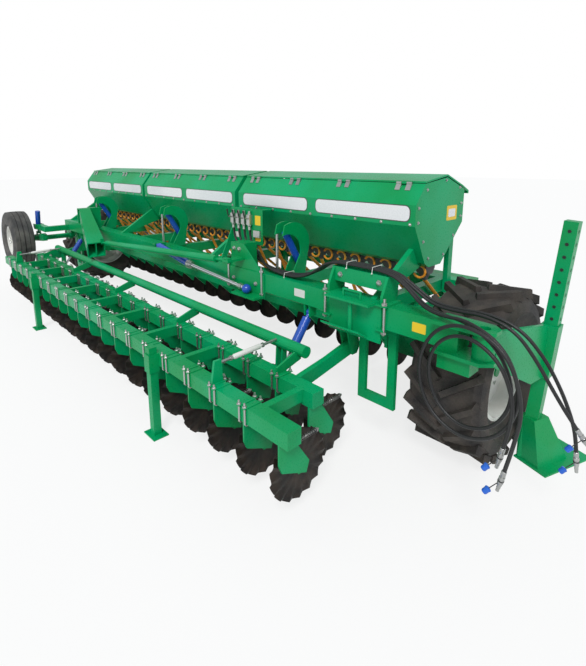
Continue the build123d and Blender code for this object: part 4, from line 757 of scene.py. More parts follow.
@dataclass
class Hoses:
    """Hydraulic hoses from the valve panel along the beam to their hanging couplers."""

    paints: Paintbox
    radius: float = 0.010
    sleeve: Outline = ((-0.035, 0.0112), (-0.033, 0.0128), (-0.010, 0.0128), (-0.008, 0.0118),
                       (0.0, 0.0118))
    nut: Outline = ((0.0, 0.0150), (0.016, 0.0150), (0.018, 0.013))
    collar: Outline = ((0.018, 0.0115), (0.022, 0.0142), (0.028, 0.0142), (0.030, 0.0126),
                       (0.034, 0.0142), (0.040, 0.0142), (0.042, 0.0120), (0.052, 0.0120))
    nipple: Outline = ((0.052, 0.0100), (0.072, 0.0100), (0.074, 0.0088), (0.090, 0.0088))
    ferrule: Outline = ((0.018, 0.0112), (0.020, 0.0134), (0.046, 0.0134), (0.049, 0.0112))
    cap: Outline = ((-0.004, 0.010), (0.0, 0.0165), (0.006, 0.0165), (0.008, 0.0150),
                    (0.026, 0.0150), (0.032, 0.0125), (0.034, 0.004))
    cap_shift: Point = (-0.040, -0.042, -0.044)
    cap_lean: Point = (-0.55, -0.35, -0.75)
    strap_at: float = 0.024
    strap_ring: Outline = ((-0.003, 0.0152), (0.003, 0.0152), (0.003, 0.0140), (-0.003, 0.0140))
    strap_start: Point = (-0.014, -0.004, 0.0)
    strap_sag: Point = (-0.010, 0.0, -0.014)
    strap_radius: float = 0.0024
    tie_places: tuple[Point, ...] = ((2.10, 1.159, 1.121), (2.72, 1.345, 1.301),
                                     (2.93, 1.345, 1.301))
    tie_radius: float = 0.0022
    routes: dict[str, list[Point]] = field(default_factory=lambda: {
        "hose_loop_front": [
            (1.44, -0.382, 1.455), (1.44, -0.382, 1.284), (1.64, -0.432, 1.23),
            (1.79, -0.53, 1.186), (1.93, -0.55, 1.15), (2.08, -0.552, 1.14), (2.25, -0.552, 1.146),
            (2.4, -0.552, 1.215), (2.54, -0.552, 1.322), (2.79, -0.552, 1.331),
            (3.06, -0.552, 1.328), (3.19, -0.56, 1.256), (3.31, -0.592, 1.178),
            (3.46, -0.648, 1.172), (3.64, -0.722, 1.215), (3.85, -0.745, 1.13),
            (3.945, -0.747, 0.89), (3.855, -0.745, 0.65), (3.65, -0.745, 0.56),
            (3.455, -0.746, 0.66), (3.38, -0.748, 0.89), (3.46, -0.76, 1.12),
            (3.65, -0.794, 1.225), (3.87, -0.803, 1.145), (3.965, -0.801, 0.91),
            (3.945, -0.799, 0.7), (3.905, -0.797, 0.5),
        ],
        "hose_loop_rear": [
            (1.36, -0.382, 1.455), (1.36, -0.382, 1.29), (1.53, -0.403, 1.237),
            (1.665, -0.43, 1.198), (1.8, -0.51, 1.164), (1.94, -0.526, 1.144),
            (2.09, -0.528, 1.14), (2.25, -0.528, 1.146), (2.4, -0.528, 1.214),
            (2.54, -0.528, 1.322), (2.79, -0.528, 1.332), (3.06, -0.528, 1.328),
            (3.19, -0.534, 1.254), (3.31, -0.562, 1.176), (3.45, -0.612, 1.168),
            (3.62, -0.685, 1.19), (3.81, -0.712, 1.1), (3.9, -0.714, 0.885), (3.82, -0.713, 0.68),
            (3.65, -0.713, 0.604), (3.49, -0.714, 0.69), (3.425, -0.718, 0.885),
            (3.49, -0.742, 1.07), (3.65, -0.768, 1.16), (3.83, -0.776, 1.08), (3.912, -0.773, 0.9),
            (3.908, -0.772, 0.745), (3.88, -0.769, 0.6),
        ],
        "hose_drop_front": [
            (1.28, -0.382, 1.455), (1.28, -0.382, 1.29), (1.445, -0.389, 1.232),
            (1.59, -0.398, 1.178), (1.72, -0.452, 1.158), (1.86, -0.496, 1.142),
            (2.03, -0.504, 1.14), (2.22, -0.504, 1.144), (2.4, -0.504, 1.214),
            (2.54, -0.504, 1.322), (2.79, -0.504, 1.332), (3.06, -0.504, 1.328),
            (3.19, -0.504, 1.254), (3.32, -0.503, 1.176), (3.47, -0.502, 1.168),
            (3.64, -0.504, 1.186), (3.8, -0.5, 1.14), (3.905, -0.47, 1.0), (3.985, -0.43, 0.85),
            (4.06, -0.395, 0.72), (4.12, -0.37, 0.63),
        ],
        "hose_drop_rear": [
            (1.2, -0.382, 1.455), (1.2, -0.382, 1.29), (1.365, -0.385, 1.23), (1.49, -0.387, 1.18),
            (1.63, -0.392, 1.142), (1.83, -0.464, 1.139), (1.99, -0.48, 1.14),
            (2.19, -0.48, 1.142), (2.4, -0.48, 1.214), (2.54, -0.48, 1.322), (2.79, -0.48, 1.332),
            (3.06, -0.48, 1.328), (3.19, -0.477, 1.254), (3.32, -0.466, 1.176),
            (3.47, -0.456, 1.168), (3.64, -0.455, 1.184), (3.81, -0.448, 1.14),
            (3.93, -0.415, 1.0), (4.005, -0.365, 0.84), (4.058, -0.325, 0.69), (4.088, -0.3, 0.57),
            (4.1, -0.29, 0.45),
        ],
    })
    lengths: dict[str, float] = field(default_factory=lambda: {
        "hose_loop_front": 5.163, "hose_loop_rear": 4.760,
        "hose_drop_front": 3.384, "hose_drop_rear": 3.635,
    })

    def build(self) -> None:
        """Build the hoses, their couplers and caps, ferrules and ties."""
        for name, route in self.routes.items():
            coupler = self.coupler(name, Vector(route[-2]), Vector(route[-1]))
            curve = bpy.data.curves.new(name + "_line", "CURVE")
            curve.dimensions = "3D"
            curve.resolution_u = 10
            curve.bevel_depth = self.radius
            curve.bevel_resolution = 3
            curve.use_fill_caps = True
            spline = curve.splines.new("NURBS")
            spline.points.add(len(route) - 1)
            for point, place in zip(spline.points, route):
                point.co = (*place, 1.0)
            spline.order_u = 3
            spline.use_endpoint_u = True
            curve.materials.append(self.paints.get(HOSE_RUBBER))
            hose = bpy.data.objects.new(name + "_line", curve)
            bpy.context.scene.collection.objects.link(hose)
            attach(hose, Body.FRAME.value)
            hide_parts(name)
            log.info("%s laid", name)
        self.ferrules()
        self.ties()

    def coupler(self, name: str, before: Vector, end: Vector) -> bpy.types.Object:
        """Build the quick coupler on a hose end, with its cap hanging beside it.

        Args:
            name: Name of the hose.
            before: Last route point but one.
            end: End of the hose.

        Returns:
            The coupler's piece.
        """
        axis = (end - before).normalized()
        draft = Draft(self.paints).use(ZINC)
        for outline, sides in ((self.sleeve, 18), (self.nut, 6), (self.collar, 18),
                               (self.nipple, 16)):
            draft.lathe(outline, end, axis, sides)
        tip = end + axis * self.strap_at
        cap = tip + Vector(self.cap_shift)
        draft.use(BLACK_PLASTIC)
        draft.lathe(self.strap_ring, tip, axis, 18, ring=True)
        line = [tip.lerp(cap, k / 8) + Vector(self.strap_sag) * math.sin(math.pi * k / 8)
                for k in range(9)]
        line[0] = tip + Vector(self.strap_start)
        draft.tube(line, [self.strap_radius] * len(line), 6)
        draft.use(BLUE_PLASTIC)
        draft.lathe(self.cap, cap, Vector(self.cap_lean), 20)
        return draft.piece(name + "_coupler", Body.FRAME, "bare_steel")

    def ferrules(self) -> None:
        """Build the nut and the ferrule of every hose at its valve."""
        draft = Draft(self.paints).use(ZINC)
        for route in self.routes.values():
            draft.hex_nut(route[0], DOWN, 0.0165, 0.018)
            draft.lathe(self.ferrule, route[0], DOWN, 18)
        draft.piece("hose_ferrules", Body.FRAME, "bare_steel")

    def ties(self) -> None:
        """Build the ties over the bundle, each with its locking head."""
        draft = Draft(self.paints).use(WHITE)
        for x, top, foot in self.tie_places:
            loop = [(-0.574, foot), (-0.566, top), (-0.466, top), (-0.458, foot)]
            for (y0, z0), (y1, z1) in zip(loop, loop[1:]):
                draft.rod((x, y0, z0), (x, y1, z1), self.tie_radius, 6)
            draft.block((x - 0.004, -0.578, foot - 0.001), (x + 0.004, -0.568, foot + 0.007),
                        0.001)
        draft.piece("hose_ties", Body.FRAME, "white_paint")


@dataclass
class HopperTrim:
    """Blank plates, latches and bolts on the three hoppers."""

    paints: Paintbox
    repeater: Repeater
    face_y: float = -0.196
    end_x: float = 3.0
    plate_z: float = 1.661
    plate_height: float = 0.116
    plate_corner: float = 0.042
    plate_spans: tuple[Pair, ...] = ((-0.905, -0.035), (0.055, 0.940))
    end_plate_size: Pair = (0.155, 0.110)
    end_plate_middle: Pair = (0.3175, 1.635)
    latch_shifts: tuple[float, ...] = (-0.72, 0.0, 0.72)
    band_z: float = 1.588
    band_start: float = 0.94
    band_pitch: float = 0.235
    band_bolts: int = 9
    end_bolts: Outline = (
        (-0.16, 1.60), (-0.16, 1.70), (-0.06, 1.82), (0.20, 1.88), (0.42, 1.82), (0.46, 1.70),
        (0.46, 1.60), (0.36, 1.46), (0.22, 1.33), (0.0, 1.33), (-0.08, 1.46),
    )

    def build(self) -> None:
        """Build the trim of all three hoppers."""
        for hopper, x in HOPPER_XS.items():
            self.plates(hopper, x)
            self.latches(hopper, x)
        self.end_plate()
        self.bolts()

    def plates(self, hopper: Hopper, x: float) -> None:
        """Build the two blank plates on the front band.

        Args:
            hopper: Which hopper.
            x: Centre of the hopper.
        """
        draft = Draft(self.paints)
        for low, high in self.plate_spans:
            centre = (x + (low + high) / 2, self.face_y, self.plate_z)
            for finish, grow, depth in ((EDGE, 0.0, 0.0016), (LABEL, -0.012, 0.0028)):
                outline = rounded(high - low + grow, self.plate_height + grow,
                                  self.plate_corner + grow / 2)
                draft.use(finish).plate(outline, centre, RIGHT, UP, depth)
        draft.piece(f"hopper_plates_{hopper.value}", Body.FRAME, "white_paint")

    def latches(self, hopper: Hopper, x: float) -> None:
        """Build the rubber pull latches under the lid's rear edge.

        Args:
            hopper: Which hopper.
            x: Centre of the hopper.
        """
        draft = Draft(self.paints)
        for shift in self.latch_shifts:
            at = x + shift
            for finish, half, near, far, foot, top, edge in (
                (ZINC, 0.028, 0.576, 0.580, 1.768, 1.792, 0.0012),
                (BLACK_PLASTIC, 0.012, 0.580, 0.588, 1.690, 1.788, 0.003),
                (BLACK_PLASTIC, 0.024, 0.578, 0.592, 1.672, 1.692, 0.004),
            ):
                draft.use(finish).block((at - half, near, foot), (at + half, far, top), edge)
        draft.piece(f"lid_latches_{hopper.value}", Body(f"lid_{hopper.value}"), "grey_plastic")

    def end_plate(self) -> None:
        """Build the small blank plate on the right end of the hoppers."""
        draft = Draft(self.paints)
        width, height = self.end_plate_size
        for finish, grow, depth in ((YELLOW, 0.0, 0.0010), (LABEL, -0.05, 0.0016)):
            outline = rounded(width + grow, height + grow, 0.010)
            draft.use(finish).plate(outline, (self.end_x, *self.end_plate_middle), BACK, UP, depth)
        draft.piece("hopper_end_plate", Body.FRAME, "white_paint")

    def bolts(self) -> None:
        """Set the bolts along the folded edges of the front band and the right end."""
        band = [(x - self.band_start + self.band_pitch * k, self.face_y, self.band_z)
                for x in HOPPER_XS.values() for k in range(self.band_bolts)]
        end = [(self.end_x, y, z) for y, z in self.end_bolts]
        for name, places, axis in (("hopper_band_bolts", band, FRONT),
                                   ("hopper_end_bolts", end, RIGHT)):
            part = Draft(self.paints).use(ZINC)
            part.lathe(BOLT_HEAD, ORIGIN, axis, 8)
            self.repeater.copies(name, part, places, Body.FRAME, "bare_steel")


@dataclass
class SeedFeed:
    """Ribbed seed tubes and the short bows of tube below the meters."""

    paints: Paintbox
    repeater: Repeater
    meter_y: float = 0.105
    top_z: float = 1.14
    foot_z: float = 0.52
    foot_back: float = 0.32
    radius: float = 0.0165
    rib_depth: float = 0.0028
    rings: int = 49
    bow_y: float = -0.078
    bow_z: float = 1.215
    bow_radius: float = 0.009
    bow_half: Pair = (0.048, 0.045)

    def build(self) -> None:
        """Build both banks of tubes and the bows."""
        for bank, bar_y in OPENER_YS.items():
            part = Draft(self.paints).use(ORANGE_TUBE)
            foot_y = bar_y + self.foot_back
            shares = [k / (self.rings - 1) for k in range(self.rings)]
            path = [(0.0, (foot_y - self.meter_y) * share, (self.foot_z - self.top_z) * share)
                    for share in shares]
            radii = [self.radius if k % 2 else self.radius - self.rib_depth
                     for k in range(self.rings)]
            part.tube(path, radii, 8)
            places = [(x, self.meter_y, self.top_z) for x in OPENER_XS[bank]]
            self.repeater.copies(f"seed_tubes_{bank.value}", part, places,
                                               Body.FRAME, "orange_plastic")
        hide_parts("seed_tubes")
        part = Draft(self.paints).use(ORANGE_TUBE)
        width, height = self.bow_half
        path = [(width * math.cos(a), 0.0, height * math.sin(a)) for a in
                [math.pi * (1.15 + 1.7 * k / 12) for k in range(13)]]
        part.tube(path, [self.bow_radius] * len(path), 8)
        places = [(x, self.meter_y + self.bow_y, self.bow_z) for bank in OPENER_XS.values()
                  for x in bank]
        self.repeater.copies("meter_tube_bows", part, places, Body.FRAME, "orange_plastic")


@dataclass
class Openers:
    """Round opener discs and press wheels behind the bars."""

    paints: Paintbox
    repeater: Repeater
    disc_radius: float = 0.170
    disc_back: float = 0.43
    disc_z: float = 0.33
    press_radius: float = 0.145
    press_back: float = 0.85
    press_z: float = 0.28
    hub: Outline = ((0.022, 0.001), (0.022, 0.085), (0.030, 0.086), (0.030, 0.040),
                    (0.056, 0.034), (0.060, 0.020), (0.060, 0.001))

    def places(self, back: float, z: float) -> list[Point]:
        """Return the axle places of both banks, so far behind their bars."""
        return [(x, OPENER_YS[bank] + back, z) for bank, xs in OPENER_XS.items() for x in xs]

    def build(self) -> None:
        """Build the discs, the press wheels and their hubs."""
        disc = Draft(self.paints).use(DISC_STEEL)
        r = self.disc_radius
        outline = [(0.018, 0.001), (0.018, r), (0.0195, r), (0.0225, r - 0.012), (0.0225, 0.055),
                   (0.031, 0.048), (0.034, 0.022)]
        for axis in (LEFT, RIGHT):
            disc.lathe(outline, ORIGIN, axis, 28)
        made = self.repeater.copies("opener_disc_pairs", disc,
                                    self.places(self.disc_back, self.disc_z), Body.FRAME,
                                    "worn_steel")
        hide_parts("opener_discs")
        wheel = Draft(self.paints).use(PRESS_RUBBER)
        r = self.press_radius
        outline = [(0.018, 0.085), (0.018, r - 0.018), (0.026, r - 0.004), (0.036, r),
                   (0.050, r), (0.060, r - 0.004), (0.068, r - 0.018), (0.068, 0.085)]
        wheel.lathe(outline, ORIGIN, RIGHT, 24, ring=True)
        places = self.places(self.press_back, self.press_z)
        made = self.repeater.copies("press_wheel_tyres", wheel, places, Body.FRAME, "press_rubber")
        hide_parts("press_wheels")
        hub = Draft(self.paints).use(GREY_PLASTIC)
        hub.lathe(self.hub, ORIGIN, RIGHT, 16)
        self.repeater.copies("press_wheel_hubs", hub, places, Body.FRAME, "grey_plastic")


@dataclass
class CoulterGang:
    """Wavy coulters, coil springs and the bolts that hold each leg to its tube."""

    paints: Paintbox
    repeater: Repeater
    tube_z: float = 0.600
    axle_z: float = 0.335
    hub_back: float = 0.130
    radius: float = 0.214
    waves: int = 16
    wave_height: float = 0.010
    wave_twist: float = 14.0
    half_thick: float = 0.0028
    half_edge: float = 0.0008
    notch: float = 0.006
    hub_cap: Outline = ((-0.004, 0.050), (-0.010, 0.050), (-0.014, 0.034), (-0.030, 0.030),
                        (-0.034, 0.020))
    disc_turn: Point = (6.28, 0.0, 0.0)
    disc_seed: int = 11
    spring_shift: Point = (0.057, 0.052, -0.060)
    spring_turns: float = 9.0
    spring_radius: float = 0.0125
    spring_length: float = 0.150
    spring_wire: float = 0.0028
    clamp_shift: float = 0.032
    clamp_half: Pair = (0.026, 0.058)
    turnbuckle_x: float = 2.362
    plug_half: float = 0.046

    def build(self) -> None:
        """Build the gang's repeated pieces."""
        self.discs()
        self.springs()
        self.clamps()
        self.turnbuckles()
        self.plugs()

    def places(self, x: float, y: float, z: float, first: int = 0) -> list[Point]:
        """Find one place beside every leg of both banks.

        Args:
            x: How far right of the leg.
            y: How far behind the tube.
            z: Height above the ground.
            first: How many legs of each bank are passed over.

        Returns:
            The places.
        """
        return [(at + x, GANG_YS[bank] + y, z) for bank in GANG_YS for at in BANK_XS[bank][first:]]

    def discs(self) -> None:
        """Build the wavy discs of both banks and their hub caps."""
        part = Draft(self.paints).use(DISC_STEEL)
        sides = 4 * self.waves
        rings = ((0.012, 0.0), (0.130, 0.0), (0.165, 0.5), (0.190, 1.0), (self.radius, 1.0))
        points: list[Vector] = []
        for face in (-1, 1):
            for radius, wave in rings:
                at_edge = radius == self.radius
                half = self.half_edge if at_edge else self.half_thick
                for k, angle in enumerate(round_angles(sides)):
                    bow = self.wave_height * wave * math.sin(self.waves * angle
                                                             + radius * self.wave_twist)
                    edge = radius - (self.notch if at_edge and k % 4 == 0 else 0.0)
                    points.append(Vector((bow + face * half, edge * math.cos(angle),
                                          edge * math.sin(angle))))
        block = len(rings) * sides
        faces = []
        for quad in skirt(len(rings), sides):
            faces += [quad[::-1], [block + n for n in quad]]
        for start in (0, block - sides):
            for k in range(sides):
                left, right = start + k, start + (k + 1) % sides
                quad = [left, right, block + right, block + left]
                faces.append(quad if start else quad[::-1])
        part.take(points, faces)
        for bank, tube_y in GANG_YS.items():
            places = [(x, tube_y + self.hub_back, self.axle_z) for x in BANK_XS[bank]]
            made = self.repeater.copies(f"wavy_discs_{bank.value}", part, places, Body.GANG,
                                        "worn_steel", turn=self.disc_turn, seed=self.disc_seed)
            if bank is Bank.FRONT:
                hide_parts("coulter_discs")
        hub = Draft(self.paints).use(ZINC)
        hub.lathe(self.hub_cap, ORIGIN, RIGHT, 14)
        self.repeater.copies("coulter_hub_caps", hub, self.places(0.0, self.hub_back, self.axle_z),
                             Body.GANG, "bare_steel")

    def springs(self) -> None:
        """Wind the coil springs and set the bolts through them."""
        x, y, z = self.spring_shift
        places = self.places(x, y, self.tube_z + z)
        values = {"Turns": self.spring_turns, "Radius": self.spring_radius,
                  "Length": self.spring_length, "Wire": self.spring_wire,
                  "Finish": self.paints.get(SPRING_STEEL)}
        made = self.repeater.run(self.repeater.coil, "coulter_coils", places, values, Body.GANG,
                                 "worn_steel")
        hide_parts("coulter_springs")
        bolt = Draft(self.paints).use(ZINC)
        bolt.rod((0, -0.002, 0), (0, 0.176, 0), 0.0055, 8)
        bolt.rod((0, 0.151, 0), (0, 0.155, 0), 0.0148, 12)
        bolt.hex_nut((0, 0.155, 0), BACK, 0.0125, 0.012)
        self.repeater.copies("coulter_spring_bolts", bolt, places, Body.GANG, "bare_steel")

    def clamps(self) -> None:
        """Set the U-bolts and the clamp plates of every leg round its tube."""
        bolts, plates = Draft(self.paints).use(ZINC), Draft(self.paints).use(GREEN)
        half_x, half_y = self.clamp_half
        for x in (-half_x, half_x):
            path = [(x, -half_y, 0.082), (x, -half_y, -0.05), (x, -0.052, -0.057),
                    (x, 0.052, -0.057), (x, half_y, -0.05), (x, half_y, 0.082)]
            bolts.tube(path, [0.006] * len(path), 6)
            for y in (-half_y, half_y):
                bolts.hex_nut((x, y, 0.0545), UP, 0.0125, 0.011)
            plates.block((x - 0.014, -0.070, 0.0505), (x + 0.014, 0.070, 0.0545), 0.0008)
        places = self.places(self.clamp_shift, 0.0, self.tube_z, first=1)
        self.repeater.copies("coulter_leg_clamps", bolts, places, Body.GANG, "bare_steel")
        self.repeater.copies("coulter_clamp_plates", plates, places, Body.GANG, "green_paint")

    def turnbuckles(self) -> None:
        """Build the two turnbuckles between the gang and its rockshaft."""
        draft = Draft(self.paints)
        low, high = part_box("turnbuckles")
        for x in (-self.turnbuckle_x, self.turnbuckle_x):
            front = Vector((x, low.y, low.z + 0.018))
            back = Vector((x, high.y, high.z - 0.018))
            way = (back - front).normalized()
            length = (back - front).length
            draft.use(ZINC)
            draft.rod(front, back, 0.0095, 12)
            for share in (0.24, 0.76):
                draft.lathe([(-0.008, 0.0165), (0.008, 0.0165)], front + way * (length * share),
                            way, 6)
            draft.use(WHITE)
            draft.lathe([(length * 0.27, 0.012), (length * 0.29, 0.0175), (length * 0.71, 0.0175),
                         (length * 0.73, 0.012)], front, way, 20)
        made = draft.piece("turnbuckle_rods", Body.GANG, "white_paint")
        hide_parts("turnbuckles")

    def plugs(self) -> None:
        """Build the plugs in the open ends of the gang's tubes."""
        draft = Draft(self.paints).use(BLACK_PLASTIC)
        for bank, x, way in ((Bank.FRONT, 3.090, 1), (Bank.FRONT, -2.990, -1),
                             (Bank.REAR, 2.905, 1), (Bank.REAR, -2.905, -1)):
            low, high = sorted((x, x - way * 0.004))
            y, half = GANG_YS[bank], self.plug_half
            draft.block((low, y - half, self.tube_z - half), (high, y + half, self.tube_z + half),
                        0.0015)
        draft.piece("gang_tube_plugs", Body.GANG, "grey_plastic")


@dataclass
class RoadTyre:
    """Ribbed tyre of the end-tow axle."""

    paints: Paintbox
    name: str
    node: str
    body: Body
    outer: float = 0.455
    half_width: float = 0.150
    rim: float = 0.236
    crown: float = 0.010
    groove_depth: float = 0.016
    groove_slope: float = 0.001
    ribs: tuple[Pair, ...] = ((-0.82, -0.47), (-0.42, -0.06), (0.06, 0.42), (0.47, 0.82))

    def build(self) -> None:
        """Build the tyre, with its rounded shoulders and three grooves."""
        outer, half = self.outer, self.half_width
        wall = [(0.72 * half, self.rim), (0.93 * half, self.rim + 0.03),
                (half, (outer + self.rim) / 2), (0.97 * half, outer - 0.06),
                (0.90 * half, outer - 0.022)]
        floor, slope = outer - self.groove_depth, self.groove_slope
        tread = []
        for low, high in self.ribs:
            a, b = low * half, high * half
            top_a, top_b = (outer - self.crown * (along / half) ** 2 for along in (a, b))
            tread += [(a - slope, floor), (a, top_a), (b, top_b), (b + slope, floor)]
        outline = [(-along, radius) for along, radius in wall] + tread[1:-1] + wall[::-1]
        draft = Draft(self.paints).use(ROAD_RUBBER)
        draft.lathe(outline, TOW_CENTRES[self.body], BACK, 72, ring=True)
        tyre = draft.piece(self.name, self.body, "road_rubber")
        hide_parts(self.node)


@dataclass
class WheelNuts:
    """Wheel nuts of all four wheels."""

    paints: Paintbox
    repeater: Repeater
    field_face: float = 0.068
    field_ring: float = 0.110
    field_nuts: int = 8
    tow_ring: float = 0.040
    tow_nuts: int = 5
    tow_sink: float = 0.002
    nut_radius: float = 0.014
    nut_height: float = 0.016

    def build(self) -> None:
        """Build the nuts of each wheel."""
        for name, body, axis in (("field_nuts_left", Body.FIELD_LEFT, LEFT),
                                 ("field_nuts_right", Body.FIELD_RIGHT, RIGHT)):
            self.ring(name, body, Vector(FIELD_CENTRES[body]), axis, self.field_face,
                      self.field_ring, self.field_nuts)
        for name, body, axis, node in (
            ("tow_nuts_front", Body.TOW_FRONT, FRONT, "transport_rim_front"),
            ("tow_nuts_rear", Body.TOW_REAR, BACK, "transport_rim_rear"),
        ):
            low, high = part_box(node)
            centre = Vector(TOW_CENTRES[body])
            reach = abs((high.y if axis.y > 0 else low.y) - centre.y)
            self.ring(name, body, centre, axis, reach - self.tow_sink, self.tow_ring,
                      self.tow_nuts)

    def ring(self, name: str, body: Body, centre: Vector, axis: Vector, face: float,
             radius: float, count: int) -> None:
        """Set one ring of nuts.

        Args:
            name: Name of the piece.
            body: Wheel it rides on.
            centre: Centre of the wheel.
            axis: Outward direction of the axle.
            face: How far out the nuts stand.
            radius: Radius of the ring.
            count: How many nuts.
        """
        nut = Draft(self.paints).use(ZINC)
        nut.hex_nut(ORIGIN, axis, self.nut_radius, self.nut_height)
        side = axis.cross(UP)
        places = [tuple(centre + axis * face
                        + (side * math.cos(angle) + UP * math.sin(angle)) * radius)
                  for angle in round_angles(count)]
        self.repeater.copies(name, nut, places, body, "bare_steel")


@dataclass
class FrontGear:
    """Valve levers, bolts, the folding ram's rod and blank plates on the beam's brackets."""

    paints: Paintbox
    valve_xs: tuple[float, ...] = (1.20, 1.28, 1.36, 1.44)
    valve_cap: Outline = ((0.0, 0.017), (0.010, 0.017), (0.013, 0.012), (0.030, 0.012),
                          (0.033, 0.009))
    panel_y: float = -0.364
    beam_y: float = -0.600
    rod_xs: tuple[float, ...] = (2.574, 3.066, 1.430, 1.880)
    rod_y: float = -0.618
    rod_radius: float = 0.009
    rod_nut: Pair = (0.018, 0.016)
    bracket_bolt: Outline = ((0.0, 0.020), (0.003, 0.020), (0.004, 0.0155), (0.014, 0.0155),
                             (0.016, 0.012))
    bracket_bolts: tuple[Point, ...] = (
        (2.66, -0.560, 1.25), (2.98, -0.560, 1.25), (1.50, -0.600, 1.28), (1.57, -0.600, 1.28),
        (1.50, -0.612, 1.02), (1.80, -0.612, 1.02),
    )
    gland: Point = (0.860, -0.665, 1.040)
    ball: Point = (1.740, -0.665, 0.976)

    def build(self) -> None:
        """Build the small gear on the beam."""
        self.valves()
        self.blank_plates()
        self.bolts()
        self.ram_rod()

    def valves(self) -> None:
        """Build the valves' caps, side ports and levers."""
        draft = Draft(self.paints)
        for x in self.valve_xs:
            draft.use(ZINC)
            draft.lathe(self.valve_cap, (x, -0.382, 1.545), UP, 16)
            draft.rod((x, -0.400, 1.51), (x, -0.440, 1.52), 0.007, 10)
            draft.use(BLACK_PLASTIC)
            draft.tube([(x, -0.436, 1.515), (x, -0.446, 1.545), (x - 0.004, -0.450, 1.585)],
                       [0.006, 0.0055, 0.0085], 10)
        draft.piece("valve_levers", Body.FRAME, "grey_plastic")

    def blank_plates(self) -> None:
        """Build the blank yellow and white plates on the valve panel and the beam."""
        draft = Draft(self.paints)
        for finish, x, y, z, width, height in (
            (YELLOW, 1.535, self.panel_y, 1.500, 0.075, 0.085),
            (YELLOW, 1.535, self.panel_y, 1.345, 0.075, 0.060),
            (WHITE, 1.230, self.panel_y, 1.345, 0.060, 0.050),
            (YELLOW, 0.60, self.beam_y, 1.045, 0.090, 0.060),
            (YELLOW, -2.20, self.beam_y, 1.045, 0.090, 0.060),
            (WHITE, 2.30, self.beam_y, 1.045, 0.110, 0.060),
            (YELLOW, 3.30, self.beam_y, 1.045, 0.090, 0.060),
        ):
            draft.use(finish)
            draft.plate(rounded(width, height, 0.006), (x, y, z), RIGHT, UP, 0.0012)
        draft.piece("blank_plates", Body.FRAME, "white_paint")

    def bolts(self) -> None:
        """Build the long bolts of the clamp bracket and the bolts of the tall bracket."""
        draft = Draft(self.paints).use(ZINC)
        y = self.rod_y
        for x in self.rod_xs:
            draft.rod((x, y, 0.935), (x, y, 1.175), self.rod_radius, 12, 0.001)
            draft.hex_nut((x, y, 1.132), UP, *self.rod_nut)
            draft.hex_nut((x, y, 0.958), DOWN, *self.rod_nut)
        for place in self.bracket_bolts:
            draft.lathe(self.bracket_bolt, place, FRONT, 6)
        draft.piece("bracket_bolts", Body.FRAME, "bare_steel")

    def ram_rod(self) -> None:
        """Build the folding ram's polished rod, its gland and its end nut."""
        gland, ball = Vector(self.gland), Vector(self.ball)
        draft = Draft(self.paints).use(CHROME)
        way = (ball - gland).normalized()
        draft.rod(gland, ball - way * 0.036, 0.0172, 24)
        draft.use(ZINC)
        draft.lathe([(-0.030, 0.0375), (-0.026, 0.0395), (0.012, 0.0395), (0.016, 0.030),
                     (0.026, 0.024)], gland, way, 24)
        draft.lathe([(-0.10, 0.018), (-0.096, 0.026), (-0.060, 0.026), (-0.056, 0.018)],
                    ball, way, 6)
        draft.piece("folding_ram_rod", Body.FRAME, "bare_steel")


@dataclass
class TowerTrim:
    """Pin holes in the leaning post, each a green rim round a flat black disc that paints the
    shade inside it.
    """

    paints: Paintbox
    post_x: float = 3.718
    post_y: float = 0.195
    half: float = 0.040
    lean: float = math.radians(3.9)
    holes: int = 8
    first_z: float = 1.04
    pitch: float = 0.08
    rim: Outline = ((-0.001, 0.0135), (0.0010, 0.0135), (0.0010, 0.0110), (-0.001, 0.0110))
    # Flat black disc at the face: painted shade standing in for the depth inside the pin opening.
    hole_shade_disc: Outline = ((-0.001, 0.0112), (0.0003, 0.0112))

    def build(self) -> None:
        """Build the rows of holes on two faces of the post, each holding a black disc of painted
        shade.
        """
        draft = Draft(self.paints)
        up = Vector((math.sin(self.lean), 0.0, math.cos(self.lean)))
        for k in range(self.holes):
            z = self.first_z + self.pitch * k
            centre = Vector((self.post_x + math.tan(self.lean) * z, self.post_y, z))
            for out in (FRONT, up.cross(BACK).normalized() * -1):
                spot = centre + out * self.half
                draft.use(GREEN).lathe(self.rim, spot, out, 20, ring=True)
                # Black disc of painted shade; the holes are not cut, their dark insides are
                # painted.
                draft.use(BLACK_PLASTIC).lathe(self.hole_shade_disc, spot, out, 20)
        draft.piece("post_holes", Body.TOWER_LEG, "green_paint")


